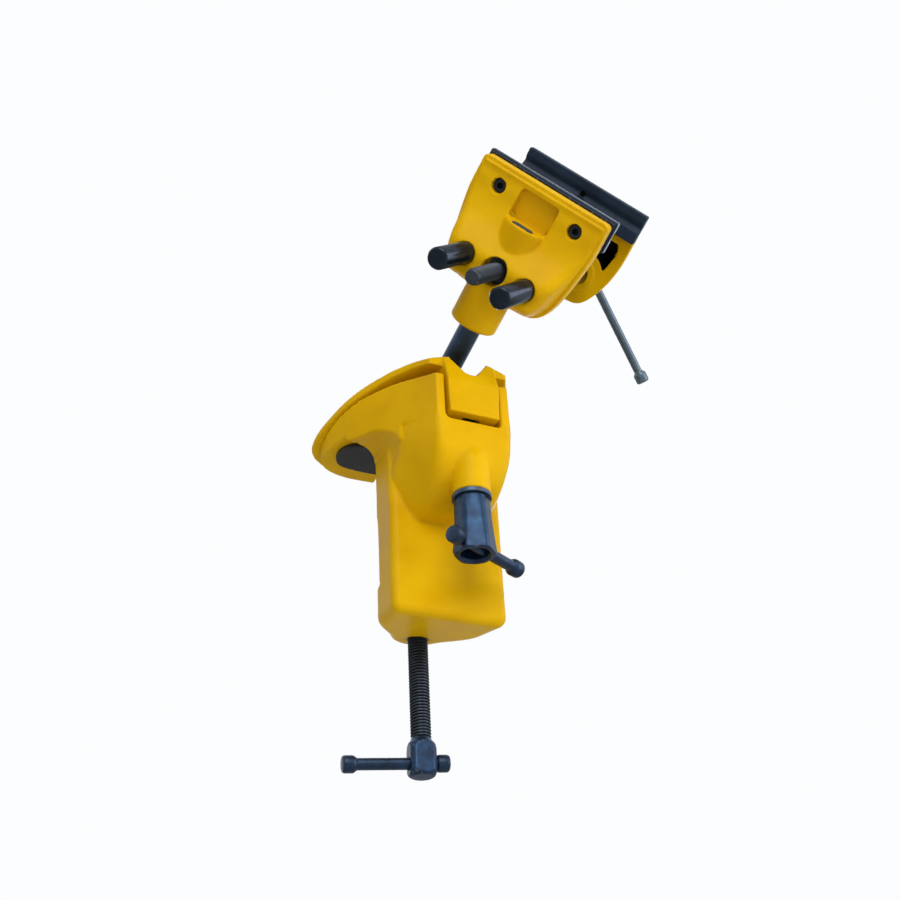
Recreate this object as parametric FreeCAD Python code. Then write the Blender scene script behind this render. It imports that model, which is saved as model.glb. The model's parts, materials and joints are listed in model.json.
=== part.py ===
import FreeCAD, Part
import math
import os

os.makedirs("parts", exist_ok=True)
V = FreeCAD.Vector

# Frame of reference
# X runs along the bench edge, Y into the bench, Z up.
# The origin is where the bench top meets the bench edge, in the middle of the vise.

# Fits and gaps
run_gap = 0.05
slip_gap = 0.3
cast_gap = 1.0
lift_gap = 0.4

# Frame casting: spine and lower arm
spine_half_top = 28.7
spine_half_low = 26.9
spine_half_front = 29.1
spine_depth = 22.0
seat_pad_t = 2.6
frame_bottom = -99.8
arm_top = -76.0
arm_slope = 0.18
clamp_y = 19.2
arm_nose_r = 13.4
arm_nose_y = clamp_y + 0.2
arm_round = 4.4
spine_round = 3.4
spine_wall = 7.0
spine_rib_half = 2.6
spine_pocket_d = 13.0
corner_relief = 0.3
corner_drop = 0.2

# Upper arm, a fan in plan: wall at its top and at its foot, and the lid rim over it
front_y = -57.5
front_half = 18.9
front_wall_t = 4.0
wall_top_z = 18.0
wall_foot_z = -6.0
fan_top = [(18.9, -57.5), (28.3, -37.3), (36.8, -22.2), (45.2, -6.9), (49.7, 6.5), (51.6, 18.0),
           (50.0, 28.0), (42.0, 34.6), (24.0, 37.4), (0.0, 38.0)]
fan_foot = [(18.9, -57.3), (28.1, -36.4), (35.2, -21.4), (41.3, -6.4), (45.2, 6.5), (47.0, 18.0),
            (45.4, 26.6), (38.0, 32.4), (22.0, 34.8), (0.0, 35.4)]
lid_rim = [(20.4, -54.4), (28.6, -38.6), (37.1, -23.6), (45.7, -8.2), (50.5, 5.3), (53.4, 16.0),
           (52.6, 27.0), (44.6, 35.0), (25.6, 38.6), (0.0, 39.4)]
# Heights along the fan from front to rear as (y, z): lid rim, lid lip, frame wall top, wall foot
rim_top = [(-66.0, 17.0), (-54.4, 20.9), (-47.0, 22.8), (-38.5, 24.1), (-31.0, 24.6), (-23.6, 24.2),
           (-8.3, 20.8), (5.3, 17.2), (16.0, 13.6), (27.0, 11.0), (44.0, 8.6)]
lip_low = [(-66.0, 13.6), (-54.4, 17.8), (-47.0, 19.8), (-38.5, 21.1), (-31.0, 21.2), (-23.6, 20.3),
           (-8.3, 17.3), (5.3, 14.4), (16.0, 11.2), (27.0, 8.8), (44.0, 6.6)]
part_top = [(-66.0, 8.2), (-57.5, 10.8), (-46.0, 14.2), (-37.0, 16.6), (-30.0, 17.7), (-22.5, 18.0),
            (-8.0, 16.5), (6.0, 13.8), (16.0, 10.6), (27.0, 8.2), (44.0, 6.0)]
wall_foot = [(-66.0, -13.6), (-57.0, -12.0), (-45.0, -9.6), (-36.0, -7.4), (-28.0, -5.0),
             (-20.0, -3.3), (-12.0, -2.2), (-6.0, -1.2), (-1.4, 0.4)]
cove_r = 8.5
crown = 4.4

# Ball joint
ball_r = 15.0
ball_y = -11.7
ball_z = 30.6
cup_r = 15.8
cup_floor = ball_z - ball_r - 3.4
cup_top = ball_z - 8.4
rod_d = 11.6
dome_r = 19.5
dome_top = ball_z + 10.4

# Tongue, notch and lock stud
tongue_y = -59.5
tongue_half_top = 13.5
tongue_half_low = 12.8
tongue_low = -10.6
tongue_back = -45.0
window_half = 14.4
window_low = -13.9
notch_half = 9.6
notch_low_z = 13.4
stud_y = -49.2
stud_d = 8.0
stud_pin_d = 4.0
boss_r = 9.3
boss_low = -50.0
washer_d = 18.6
washer_t = 2.2
hub_top = boss_low - washer_t
hub_low = -81.0
hub_top_d = 16.8
hub_af_low = 17.8
hub_flare_z = -63.0
hub_bore = 12.5
hub_thread_len = 12.0
hub_turn_deg = 40.3

# Lid hinge
hinge_y = 27.5
hinge_z = 6.4
hinge_pin_d = 4.0
hinge_eye_r = 3.3
hinge_lug_half = 15.0
hinge_ear_half = 24.0
stud_pin_z = hinge_z

# Sliding handles of the lock nut and the clamp screw
bar_d = 5.6
bar_knob_d = 8.2
bar_knob_l = 6.6
bar_span = 43.8
lock_bar_z = -76.0
lock_bar_deg = 27.1
clamp_bar_z = -154.2
clamp_bar_deg = 171.0
clamp_bar_droop = 2.9

# Clamp screw and pressure pad
clamp_d = 9.8
clamp_pitch = 1.5
clamp_head_w = 12.4
clamp_head_d = 15.0
clamp_head_top = -142.8
clamp_head_low = -160.6
pad_top = -45.5
pad_r = 12.0
pad_t = 4.0
pad_socket_t = 6.0
tip_r = 4.0

# Head pose about the ball centre
pan_deg = 7.3
tilt_deg = 63.7
head_spin = -43.2

# Vise head, measured from the ball centre with Z along the ball rod and Y along the guide rods
jaw_top = 122.0
jaw_low = 61.0
shield_near = [(36.5, 112.0), (36.5, 105.0), (36.1, 100.0), (35.5, 95.0), (34.0, 85.0), (32.0, 75.0),
               (30.4, 70.0), (28.4, 66.4), (23.8, 62.8), (16.6, 61.3)]
shield_far = [(36.6, 112.0), (36.7, 105.0), (36.7, 93.0), (35.2, 82.0), (33.2, 75.0), (30.6, 68.8),
              (28.0, 64.6), (24.6, 62.0), (20.0, 61.0), (15.0, 60.7)]
shield_top_half = 36.4
jaw_corner = 2.6
pad_half = 37.5
pad_high = 123.7
pad_low = 107.0
rubber_t = 4.4
plate_t = 2.0
grip_y = 18.15
jaw_open = 53.0
flange_near_t = 7.0
flange_far_t = 3.0
flange_step = 1.6
back_draft = 9.0
jaw_depth = 23.2
back_wall = 3.8
# Jaw back from top to foot as (height, depth behind the gripping face, corner ease)
back_rows = [(119.6, 8.2, 1.4), (113.0, 8.1, 1.4), (107.0, 8.4, 1.6), (102.0, 9.4, 2.2),
             (98.0, 10.9, 3.4), (94.6, 12.7, 4.6), (91.4, 15.0, 5.6), (88.6, 17.3, 6.0),
             (86.0, 19.4, 6.2), (83.6, 21.3, 6.2), (81.0, 22.7, 6.2), (77.5, jaw_depth, 6.2),
             (72.0, jaw_depth, 6.2), (67.5, jaw_depth - 0.2, 6.2)]
foot_rows = [(67.5, jaw_depth - 0.2, 6.2), (66.2, 21.4, 5.6), (65.0, 17.0, 4.4), (63.7, 11.4, 2.4),
             (62.8, 8.0, 0.8)]
recess_floor = 3.75
rod_block_r = 13.4
rod_ring_r = 9.4
rod_ring_h = 0.8
clip_seat = 5.0
clip_room_r = 9.0
rod_z = 77.3
guide_x = 17.8
guide_d = 11.0
guide_end = -44.0
screw_d = 8.6
screw_end = -39.2
neck_r = 12.3
neck_low = 45.5
pad_hole_x = 22.3
pad_hole_z = 111.2
pad_hole_d = 7.7
nut_y = -1.7
nut_t = 4.4
nut_w = 11.6
nut_top = 100.6
ledge_z = 101.4
pillar_r = 11.6
pillar_y = 5.4
recess_half = 11.0
recess_top = 116.6
jaw_face_far = 100.0
thrust_r = 9.4
thrust_t = 1.8
thrust_gap = 0.1
spot_r = 10.4
head_len = 31.0
head_r = 7.2
jaw_bar_at = 26.0
jaw_bar_d = 4.8
jaw_bar_knob_d = 7.6
jaw_bar_knob_l = 6.6
jaw_bar_span = 94.4
jaw_bar_deg = -32.1


def face_xy(pts, z):
    vs = [V(x, y, z) for x, y in pts]
    return Part.Face(Part.makePolygon(vs + [vs[0]]))


def prism_xy(pts, z0, z1):
    return face_xy(pts, z0).extrude(V(0, 0, z1 - z0))


def prism_yz(pts, x0, x1):
    vs = [V(x0, y, z) for y, z in pts]
    return Part.Face(Part.makePolygon(vs + [vs[0]])).extrude(V(x1 - x0, 0, 0))


def prism_xz(pts, y0, y1):
    vs = [V(x, y0, z) for x, z in pts]
    return Part.Face(Part.makePolygon(vs + [vs[0]])).extrude(V(0, y1 - y0, 0))


def curve(points):
    b = Part.BSplineCurve()
    b.interpolate(points)
    return b.toShape()


def fan_wire(half, z):
    right = [V(x, y, z) for x, y in half]
    left = [V(-x, y, z) for x, y in reversed(half)]
    front = Part.makeLine(left[-1], right[0])
    return Part.Wire([front, curve(right), curve(left)])


def yz_slab(top, low, reach):
    a = [V(-reach, y, z) for y, z in top]
    b = [V(-reach, y, z) for y, z in reversed(low)]
    edges = [curve(a), Part.makeLine(a[-1], b[0]), curve(b), Part.makeLine(b[-1], a[0])]
    return Part.Face(Part.Wire(edges)).extrude(V(2 * reach, 0, 0))


def lathe(profile, centre=V(0, 0, 0), axis=V(0, 0, 1)):
    vs = [V(r, 0, z) for r, z in profile]
    solid = Part.Face(Part.makePolygon(vs + [vs[0]])).revolve(V(0, 0, 0), V(0, 0, 1), 360)
    turn = FreeCAD.Rotation(V(0, 0, 1), axis)
    solid.Placement = FreeCAD.Placement(centre, turn)
    return solid


def cyl(r, p, q):
    d = q.sub(p)
    return Part.makeCylinder(r, d.Length, p, d)


def box(x0, x1, y0, y1, z0, z1):
    return Part.makeBox(x1 - x0, y1 - y0, z1 - z0, V(x0, y0, z0))


def fuse(first, *rest):
    out = first
    for s in rest:
        out = out.fuse(s)
    return out.removeSplitter()


def edges_where(shape, test):
    found = []
    for e in shape.Edges:
        mid = e.valueAt((e.FirstParameter + e.LastParameter) / 2.0)
        if test(e, mid):
            found.append(e)
    return found


def soften(shape, radius, test):
    edges = edges_where(shape, test)
    if not edges:
        raise ValueError("no edges to round")
    return shape.makeFillet(radius, edges)


def handle_bar(span, d, knob_d, knob_l, near, centre, angle_deg, droop_deg):
    # A plain bar with an upset knob at each end; near is the distance of the near knob centre.
    # The far end points along angle_deg in plan and hangs down by droop_deg.
    c = 1.0
    half = knob_l / 2.0
    x_near = -near
    x_far = span - near
    bar = cyl(d / 2.0, V(x_near, 0, 0), V(x_far, 0, 0))
    prof = [(0, -half), (knob_d / 2.0 - c, -half), (knob_d / 2.0, -half + c),
            (knob_d / 2.0, half - c), (knob_d / 2.0 - c, half), (0, half)]
    knobs = []
    for x in (x_near, x_far):
        knob = lathe(prof, V(x, 0, 0), V(1, 0, 0))
        knob = knob.cut(cyl(d / 2.0, V(x_near, 0, 0), V(x_far, 0, 0)))
        knobs.append(knob)
    pair = Part.makeCompound(knobs)
    out = []
    for s in (bar, pair):
        s = s.copy()
        s.rotate(V(0, 0, 0), V(0, 1, 0), droop_deg)
        s.rotate(V(0, 0, 0), V(0, 0, 1), angle_deg)
        s.translate(centre)
        out.append(s)
    return out


def ball_cut(extra):
    return Part.makeSphere(ball_r + extra, V(0, ball_y, ball_z))


# Frame casting
def spine_outline(back_half, z):
    # Plan of the spine, run on past its back along the drafted sides
    past = back_half + (back_half - spine_half_front) / spine_depth
    return face_xy([(-spine_half_front, -spine_depth), (spine_half_front, -spine_depth),
                    (past, 1.0), (-past, 1.0)], z).OuterWire


def lower_body():
    # Spine and lower arm share one plan outline; the arm is cut back to its side profile
    def plan(back_half, front_half_w, z):
        w = back_half
        nose_a = V(arm_nose_r * 0.93, arm_nose_y + arm_nose_r * 0.37, z)
        nose_b = V(-nose_a.x, nose_a.y, z)
        side = [V(w, 0.0, z), V(25.6, 6.2, z), V(20.2, 14.4, z), nose_a]
        mirrored = [V(-p.x, p.y, z) for p in reversed(side)]
        edges = [Part.makeLine(V(-front_half_w, -spine_depth, z), V(front_half_w, -spine_depth, z)),
                 Part.makeLine(V(front_half_w, -spine_depth, z), V(w, 0.0, z)), curve(side),
                 Part.Arc(nose_a, V(0, arm_nose_y + arm_nose_r, z), nose_b).toShape(),
                 curve(mirrored),
                 Part.makeLine(V(-w, 0.0, z), V(-front_half_w, -spine_depth, z))]
        return Part.Wire(edges)
    z0 = frame_bottom - 2.0
    arm = Part.Face(plan(spine_half_low, spine_half_front, z0)).extrude(V(0, 0, 40))
    tip = arm_nose_y + arm_nose_r + 1.0
    rise = arm_slope * (tip + spine_depth)
    side = prism_yz([(-spine_depth - 1, frame_bottom), (-spine_depth, frame_bottom),
                     (tip, frame_bottom + rise), (tip, arm_top), (-spine_depth - 1, arm_top)], -40, 40)
    arm = arm.common(side)
    spine = Part.makeLoft([spine_outline(spine_half_low, arm_top - 3),
                           spine_outline(spine_half_top, 4.0)], True, True)
    # The back is cut flat where it meets the edge of the bench
    spine = spine.common(box(-60, 60, -60, 0, arm_top - 4, 5))
    body = fuse(arm, spine)
    body = soften(body, spine_round, lambda e, m: e.BoundBox.ZLength > 10 and m.y < -20
                  and abs(m.x) > 25)
    foot_z = frame_bottom + rise + 1.0
    return soften(body, arm_round, lambda e, m: m.z < foot_z and e.BoundBox.ZMax < foot_z + 0.5
                  and not (abs(m.y + spine_depth) < 0.3 and abs(m.x) < 20))


def rounded_wire(pts, radii, z):
    # Closed outline at height z whose corners are eased by the given amounts
    vs = [V(x, y, z) for x, y in pts]
    n = len(vs)
    starts = []
    ends = []
    for i in range(n):
        a = vs[i - 1].sub(vs[i])
        b = vs[(i + 1) % n].sub(vs[i])
        a.normalize()
        b.normalize()
        starts.append(vs[i].add(V(a.x * radii[i], a.y * radii[i], 0)))
        ends.append(vs[i].add(V(b.x * radii[i], b.y * radii[i], 0)))
    edges = []
    for i in range(n):
        if radii[i] > 0:
            c = Part.BezierCurve()
            c.setPoles([starts[i], vs[i], ends[i]])
            edges.append(c.toShape())
        edges.append(Part.makeLine(ends[i], starts[(i + 1) % n]))
    return Part.Wire(edges)


def section(z, y_front, half_front, y_side, half_side, r_front, r_side):
    # Horizontal section of the ball housing, symmetric about X = 0
    back = -8.0
    pts = [(-half_side, back), (-half_side, y_side), (-half_front, y_front),
           (half_front, y_front), (half_side, y_side), (half_side, back)]
    return rounded_wire(pts, [0, r_side, r_front, r_front, r_side, 0], z)


def housing():
    # The bowl under the upper arm that carries the ball seat and leads into the spine
    y0 = front_y
    w = front_half
    upper = [section(6.0, y0, w, -34.5, 28.3, 2.6, 3.0), section(-18.0, y0 + 0.1, w, -33.0, 28.2, 2.6, 3.0)]
    bowl = [section(-18.0, y0 + 0.1, w, -33.0, 28.2, 2.6, 3.0),
            section(-25.0, y0 + 0.5, w - 0.3, -28.0, 28.1, 3.0, 3.0),
            section(-31.0, y0 + 1.8, w - 0.8, -23.0, 27.8, 4.0, 3.0),
            section(-37.0, y0 + 4.6, w - 1.6, -21.6, 25.6, 5.0, 3.0),
            section(-43.0, y0 + 9.4, w - 2.6, -20.6, 22.8, 6.0, 3.0),
            section(-48.0, y0 + 17.0, w - 4.8, -19.4, 19.8, 6.0, 3.0),
            section(-51.0, y0 + 27.0, w - 7.6, -18.6, 17.4, 5.0, 2.0)]
    return fuse(Part.makeLoft(upper, True, True), Part.makeLoft(bowl, True, False))


def upper_arm():
    foot = fan_wire(fan_foot, wall_foot_z)
    top = fan_wire(fan_top, wall_top_z)
    k = 1.0 + 14.0 / (wall_top_z - wall_foot_z)
    high = [(f[0] + (t[0] - f[0]) * k, f[1] + (t[1] - f[1]) * k) for f, t in zip(fan_foot, fan_top)]
    deep = [(f[0] - (t[0] - f[0]) * 0.5, f[1] - (t[1] - f[1]) * 0.5) for f, t in zip(fan_foot, fan_top)]
    dz = wall_top_z - wall_foot_z
    plan = Part.makeLoft([fan_wire(deep, wall_foot_z - dz * 0.5), fan_wire(high, wall_top_z + 14.0)],
                         True, True)
    a = [V(-70, y, z) for y, z in part_top]
    b = [V(-70, y, z) for y, z in wall_foot]
    step = [V(-70, -0.6, seat_pad_t), V(-70, 44.0, seat_pad_t)]
    edges = [curve(a), Part.makeLine(a[-1], step[1]), Part.makeLine(step[1], step[0]),
             Part.makeLine(step[0], b[-1]), curve(list(reversed(b))), Part.makeLine(b[0], a[0])]
    slab = Part.Face(Part.Wire(edges)).extrude(V(140, 0, 0))
    return plan.common(slab)


def cove(s):
    # Hollow fillet between the foot of the fan wall and the side of the spine
    sections = []
    for y, z in ((-35.0, -7.2), (-18.0, -3.0), (-0.6, 0.2)):
        x0 = s * (spine_half_front - 0.6)
        x1 = s * (spine_half_front + cove_r)
        zl = z - cove_r
        mid = V(s * (spine_half_front + cove_r * 0.3), y, z - cove_r * 0.3)
        edges = [Part.makeLine(V(x0, y, z + 1.6), V(x1, y, z + 1.6)),
                 Part.makeLine(V(x1, y, z + 1.6), V(x1, y, z)),
                 Part.Arc(V(x1, y, z), mid, V(s * spine_half_front, y, zl)).toShape(),
                 Part.makeLine(V(s * spine_half_front, y, zl), V(x0, y, zl)),
                 Part.makeLine(V(x0, y, zl), V(x0, y, z + 1.6))]
        sections.append(Part.Wire(edges))
    return Part.makeLoft(sections, True, True)


def fan_clip():
    # Everything under the fan stays inside the foot outline of its wall
    return Part.Face(fan_wire(fan_foot, -60.0)).extrude(V(0, 0, 90))


def make_frame():
    clip = fan_clip()
    coves = [cove(s).common(clip) for s in (-1, 1)]
    body = fuse(lower_body(), housing(), upper_arm(), coves[0], coves[1])
    # Relief in the inside corner, so that the bench edge lies on the flat back below it
    body = body.cut(box(-60, 60, -corner_relief, 0, -corner_drop, seat_pad_t))
    # Stud boss with a domed top on the front of the housing
    boss = lathe([(0, boss_low), (boss_r, boss_low), (boss_r, -33.0), (boss_r - 0.9, -29.6),
                  (boss_r - 3.0, -26.6), (boss_r - 6.0, -24.6), (0, -24.0)], V(0, stud_y, 0))
    body = fuse(body, boss)
    # Rear hinge ears stand on the arm under the lid
    for s in (-1, 1):
        x0 = s * (hinge_lug_half + slip_gap)
        x1 = s * hinge_ear_half
        ear = cyl(hinge_eye_r, V(x0, hinge_y, hinge_z), V(x1, hinge_y, hinge_z))
        foot = box(min(x0, x1), max(x0, x1), hinge_y - hinge_eye_r, hinge_y + hinge_eye_r,
                   seat_pad_t + 0.4, hinge_z)
        body = fuse(body, ear, foot)
    # Ball seat pocket, tongue window, stud hole, lug notch, lightening pockets
    body = body.cut(cyl(cup_r + run_gap, V(0, ball_y, cup_floor), V(0, ball_y, 60)))
    body = body.cut(Part.makeCone(cup_r, dome_r + 3.5, 12.0, V(0, ball_y, cup_floor + 4.6)))
    window = box(-window_half, window_half, front_y - 8, front_y + front_wall_t + 1, window_low, 60)
    window = soften(window, 2.4, lambda e, m: e.BoundBox.YLength > 4 and m.z < 0)
    body = body.cut(window)
    room = tongue_half_top + cast_gap - 0.2
    body = body.cut(box(-room, room, front_y + front_wall_t, tongue_back + 2.0, window_low, 60))
    body = body.cut(cyl(stud_d / 2.0 + 0.5, V(0, stud_y, boss_low - 1), V(0, stud_y, 20)))
    notch = hinge_lug_half + slip_gap
    body = body.cut(box(-notch, notch, hinge_y - hinge_eye_r - 1.0, 60, seat_pad_t - 1, 60))
    body = body.cut(cyl(hinge_pin_d / 2.0, V(-hinge_ear_half - 4.0, hinge_y, hinge_z),
                        V(hinge_ear_half + 4.0, hinge_y, hinge_z)))
    for s in (-1, 1):
        pocket = prism_xy([(s * 22.0, -28), (s * 29.0, -18), (s * 37.0, -4), (s * 41.0, 10),
                           (s * 40.0, 18), (s * 28.0, 18), (s * 22.0, -2)], seat_pad_t + 4.0, 60)
        body = body.cut(pocket)
    # Open back of the spine with a middle rib
    z0 = arm_top + 9.0
    z1 = -16.0
    for s in (-1, 1):
        x0 = min(s * spine_rib_half, s * (spine_half_low - spine_wall))
        x1 = max(s * spine_rib_half, s * (spine_half_low - spine_wall))
        pocket = box(x0, x1, -spine_pocket_d, 1.0, z0, z1)
        pocket = soften(pocket, 2.0, lambda e, m: e.BoundBox.YLength > 10 or m.y < -12)
        body = body.cut(pocket)
    # Clamp thread through the lower arm
    body = body.cut(cyl(clamp_d / 2.0 + run_gap, V(0, clamp_y, -120), V(0, clamp_y, arm_top + 5)))
    return body


frame = make_frame()


# Seat pad under the upper arm, a fan shaped rubber sheet
def make_seat_pad():
    half = [(30.0, 0.2), (37.4, 1.4), (42.4, 6.4), (43.6, 14.0), (41.0, 20.0), (34.0, 22.6),
            (17.0, 23.0), (0.0, 23.0)]
    right = [V(x, y, 0) for x, y in half]
    left = [V(-x, y, 0) for x, y in reversed(half)]
    front = Part.makeLine(left[-1], right[0])
    return Part.Face(Part.Wire([front, curve(right), curve(left)])).extrude(V(0, 0, seat_pad_t))


seat_pad = make_seat_pad()
lid_pin = cyl(hinge_pin_d / 2.0, V(-hinge_ear_half - 1.0, hinge_y, hinge_z),
              V(hinge_ear_half + 1.0, hinge_y, hinge_z))


# Ball clamp lid
def crown_solid(drop, floor_z):
    # Solid under a crowned surface; drop lowers the whole surface
    rows = [(-66.0, 17.0, 17.2), (-54.4, 20.9, 20.4), (-46.0, 23.0, 25.6), (-36.0, 24.4, 31.0),
            (-23.6, 24.2, 37.0), (-8.3, 20.8, 45.6), (5.3, 17.2, 50.6), (16.0, 13.6, 53.4),
            (28.0, 10.8, 52.8), (44.0, 8.6, 50.0)]
    wires = []
    for y, z, w in rows:
        r = (w * w + crown * crown) / (2.0 * crown)
        top = z + crown - drop
        e = w + 4.0
        ze = top - (r - math.sqrt(r * r - e * e))
        arc = Part.Arc(V(-e, y, ze), V(0, y, top), V(e, y, ze)).toShape()
        wires.append(Part.Wire([arc, Part.makeLine(V(e, y, ze), V(e, y, floor_z)),
                                Part.makeLine(V(e, y, floor_z), V(-e, y, floor_z)),
                                Part.makeLine(V(-e, y, floor_z), V(-e, y, ze))]))
    return Part.makeLoft(wires, True, False)


def make_lid():
    rim = Part.Face(fan_wire(lid_rim, -8.0)).extrude(V(0, 0, 60))
    above = yz_slab([(y, z + 40) for y, z in lip_low], lip_low, 70)
    lid = rim.common(above).common(crown_solid(0.0, -6.0))
    # Hollow underside leaves a shell with a raised edge
    inner = [(max(x - 6.5, 0.0), y) for x, y in fan_top]
    inner[0] = (12.6, -36.0)
    inner[1] = (21.5, -34.0)
    for i in range(5, len(inner)):
        inner[i] = (max(fan_top[i][0] - 6.5, 0.0), fan_top[i][1] - 5.0)
    cavity = Part.Face(fan_wire(inner, -8.0)).extrude(V(0, 0, 60)).common(crown_solid(4.6, -8.0))
    lid = lid.cut(cavity)
    # Ball collar
    collar = lathe([(0, cup_top + 1.2), (dome_r - 1.5, cup_top + 1.2), (dome_r, cup_top + 3.0),
                    (dome_r, dome_top - 7.0), (dome_r - 1.4, dome_top - 3.4),
                    (dome_r - 4.2, dome_top - 0.8), (dome_r - 6.0, dome_top), (0, dome_top)],
                   V(0, ball_y, 0))
    skirt = lathe([(cup_r + 1.2, 10.0), (dome_r, 10.0), (dome_r, cup_top + 3.2),
                   (cup_r + 1.2, cup_top + 3.2)], V(0, ball_y, 0)).common(above)
    lid = fuse(lid, collar, skirt)
    # Front tongue, a thick plate that reaches down through the window of the frame
    face = prism_yz([(tongue_back + 8.0, 27.0), (-54.2, 27.0), (-54.6, 23.6), (-57.2, 16.0),
                     (tongue_y, 8.2), (tongue_y + 0.5, tongue_low), (tongue_back, tongue_low),
                     (tongue_back, 15.6), (tongue_back + 8.0, 18.8)], -20, 20)
    sides = prism_xz([(-tongue_half_top, 40), (-tongue_half_top, 8), (-tongue_half_low, tongue_low),
                      (tongue_half_low, tongue_low), (tongue_half_top, 8), (tongue_half_top, 40)],
                     -70, -30)
    lid = fuse(lid, face.common(sides).common(crown_solid(0.0, -20.0)))
    # Rear hinge lug
    lug = cyl(hinge_eye_r - 0.2, V(-hinge_lug_half, hinge_y, hinge_z), V(hinge_lug_half, hinge_y, hinge_z))
    web = box(-hinge_lug_half, hinge_lug_half, hinge_y - 2.6, hinge_y + 2.6, hinge_z, 12.6)
    lid = fuse(lid, lug, web)
    # Ball seat, rod opening and front notch
    lid = lid.cut(ball_cut(run_gap))
    lid = lid.cut(cyl(cup_r + 1.0, V(0, ball_y, -20), V(0, ball_y, cup_top + cast_gap)))
    # Relief below the seat band lets the lid lift off the ball
    relief = ball_cut(lift_gap).common(box(-20, 20, ball_y - 20, ball_y + 20, 0, ball_z + 5.3))
    lid = lid.cut(relief)
    lid = lid.cut(cyl(ball_r + lift_gap, V(0, ball_y, -20), V(0, ball_y, ball_z)))
    lid = lid.cut(Part.makeCone(9.6, 16.5, 14.0, V(0, ball_y, ball_z + 5.4)))
    notch = [(-notch_half - 1.0, 60), (-notch_half - 1.0, 26.0), (-notch_half, 23.6),
             (-6.2, 18.6), (-3.6, notch_low_z + 1.2), (-1.4, notch_low_z), (1.4, notch_low_z),
             (3.6, notch_low_z + 1.2), (6.2, 18.6), (notch_half, 23.6), (notch_half + 1.0, 26.0),
             (notch_half + 1.0, 60)]
    lid = lid.cut(prism_xz(notch, -80, -34.0))
    channel = prism_xy([(-notch_half - 1.5, -34.2), (notch_half + 1.5, -34.2), (10.9, -28.0),
                        (8.3, ball_y), (-8.3, ball_y), (-10.9, -28.0)], 0, 50)
    floor = prism_yz([(-36.0, 18.0), (-27.5, 22.0), (ball_y - 10.0, ball_z - 5.0),
                      (ball_y, ball_z - 1.0), (ball_y, 70), (-36.0, 70)], -20, 20)
    lid = lid.cut(channel.common(floor))
    # Stud slot and cross pin, hinge bore
    lid = lid.cut(box(-stud_d / 2.0 - 0.4, stud_d / 2.0 + 0.4, stud_y - 4.9, stud_y + 4.9,
                      tongue_low - 1, stud_pin_z + 5.4))
    lid = lid.cut(cyl(stud_pin_d / 2.0, V(-9.5, stud_y, stud_pin_z), V(9.5, stud_y, stud_pin_z)))
    lid = lid.cut(cyl(hinge_pin_d / 2.0 + run_gap, V(-30, hinge_y, hinge_z), V(30, hinge_y, hinge_z)))
    return lid


lid = make_lid()

stud_pin = cyl(stud_pin_d / 2.0, V(-9.5, stud_y, stud_pin_z), V(9.5, stud_y, stud_pin_z))


def make_lock_stud():
    # Eye bolt hanging from the cross pin in the lid
    stud = cyl(stud_d / 2.0, V(0, stud_y, boss_low - 16.0), V(0, stud_y, stud_pin_z))
    round_eye = cyl(4.4, V(-stud_d / 2.0, stud_y, stud_pin_z), V(stud_d / 2.0, stud_y, stud_pin_z))
    shape = fuse(stud, round_eye)
    hole = cyl(stud_pin_d / 2.0 + run_gap, V(-6, stud_y, stud_pin_z), V(6, stud_y, stud_pin_z))
    return shape.cut(hole)


lock_stud = make_lock_stud()


# Lock nut: tapered hexagon, open at the bottom
def hexagon(af, z, cx, cy, turn):
    r = af / math.sqrt(3.0)
    vs = []
    for k in range(6):
        a = math.radians(60 * k + turn)
        vs.append(V(cx + r * math.cos(a), cy + r * math.sin(a), z))
    return Part.makePolygon(vs + [vs[0]])


def make_lock_nut():
    top = hub_top
    r_top = hub_top_d / 2.0
    r_low = hub_af_low / math.sqrt(3.0) - 0.1
    body = Part.makeLoft([hexagon(hub_top_d, top, 0, stud_y, hub_turn_deg),
                          hexagon(hub_af_low, hub_low, 0, stud_y, hub_turn_deg)], True, True)
    bound = lathe([(0, top), (r_top - 0.6, top), (r_top + 0.1, top - 0.8), (r_top + 0.2, hub_flare_z),
                   (r_top + 0.9, hub_flare_z - 9.0), (r_low, hub_low + 1.6),
                   (r_low - 0.7, hub_low + 0.4), (r_low - 1.6, hub_low), (0, hub_low)],
                  V(0, stud_y, 0))
    body = body.common(bound)
    body = body.cut(cyl(hub_bore / 2.0, V(0, stud_y, hub_low - 1),
                        V(0, stud_y, top - hub_thread_len)))
    body = body.cut(Part.makeCone(hub_bore / 2.0 + 1.0, hub_bore / 2.0 - 0.2, 1.2,
                                  V(0, stud_y, hub_low)))
    body = body.cut(cyl(stud_d / 2.0 + run_gap, V(0, stud_y, hub_low), V(0, stud_y, top + 1)))
    a = math.radians(lock_bar_deg)
    d = V(math.cos(a), math.sin(a), 0)
    c = V(0, stud_y, lock_bar_z)
    return body.cut(cyl(bar_d / 2.0 + run_gap, c.sub(d * 20), c.add(d * 20)))


lock_nut = make_lock_nut()
washer_r = washer_d / 2.0
washer_high = boss_low - run_gap
lock_washer = lathe([(stud_d / 2.0 + slip_gap, hub_top), (washer_r, hub_top), (washer_r, washer_high - 0.3),
                     (washer_r - 0.3, washer_high), (stud_d / 2.0 + slip_gap, washer_high)],
                    V(0, stud_y, 0))
lock_near = hub_af_low / 2.0 + bar_knob_l / 2.0 + 1.2
lock_bar, lock_knobs = handle_bar(bar_span, bar_d, bar_knob_d, bar_knob_l, lock_near,
                                  V(0, stud_y, lock_bar_z), lock_bar_deg, 0.0)


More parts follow.
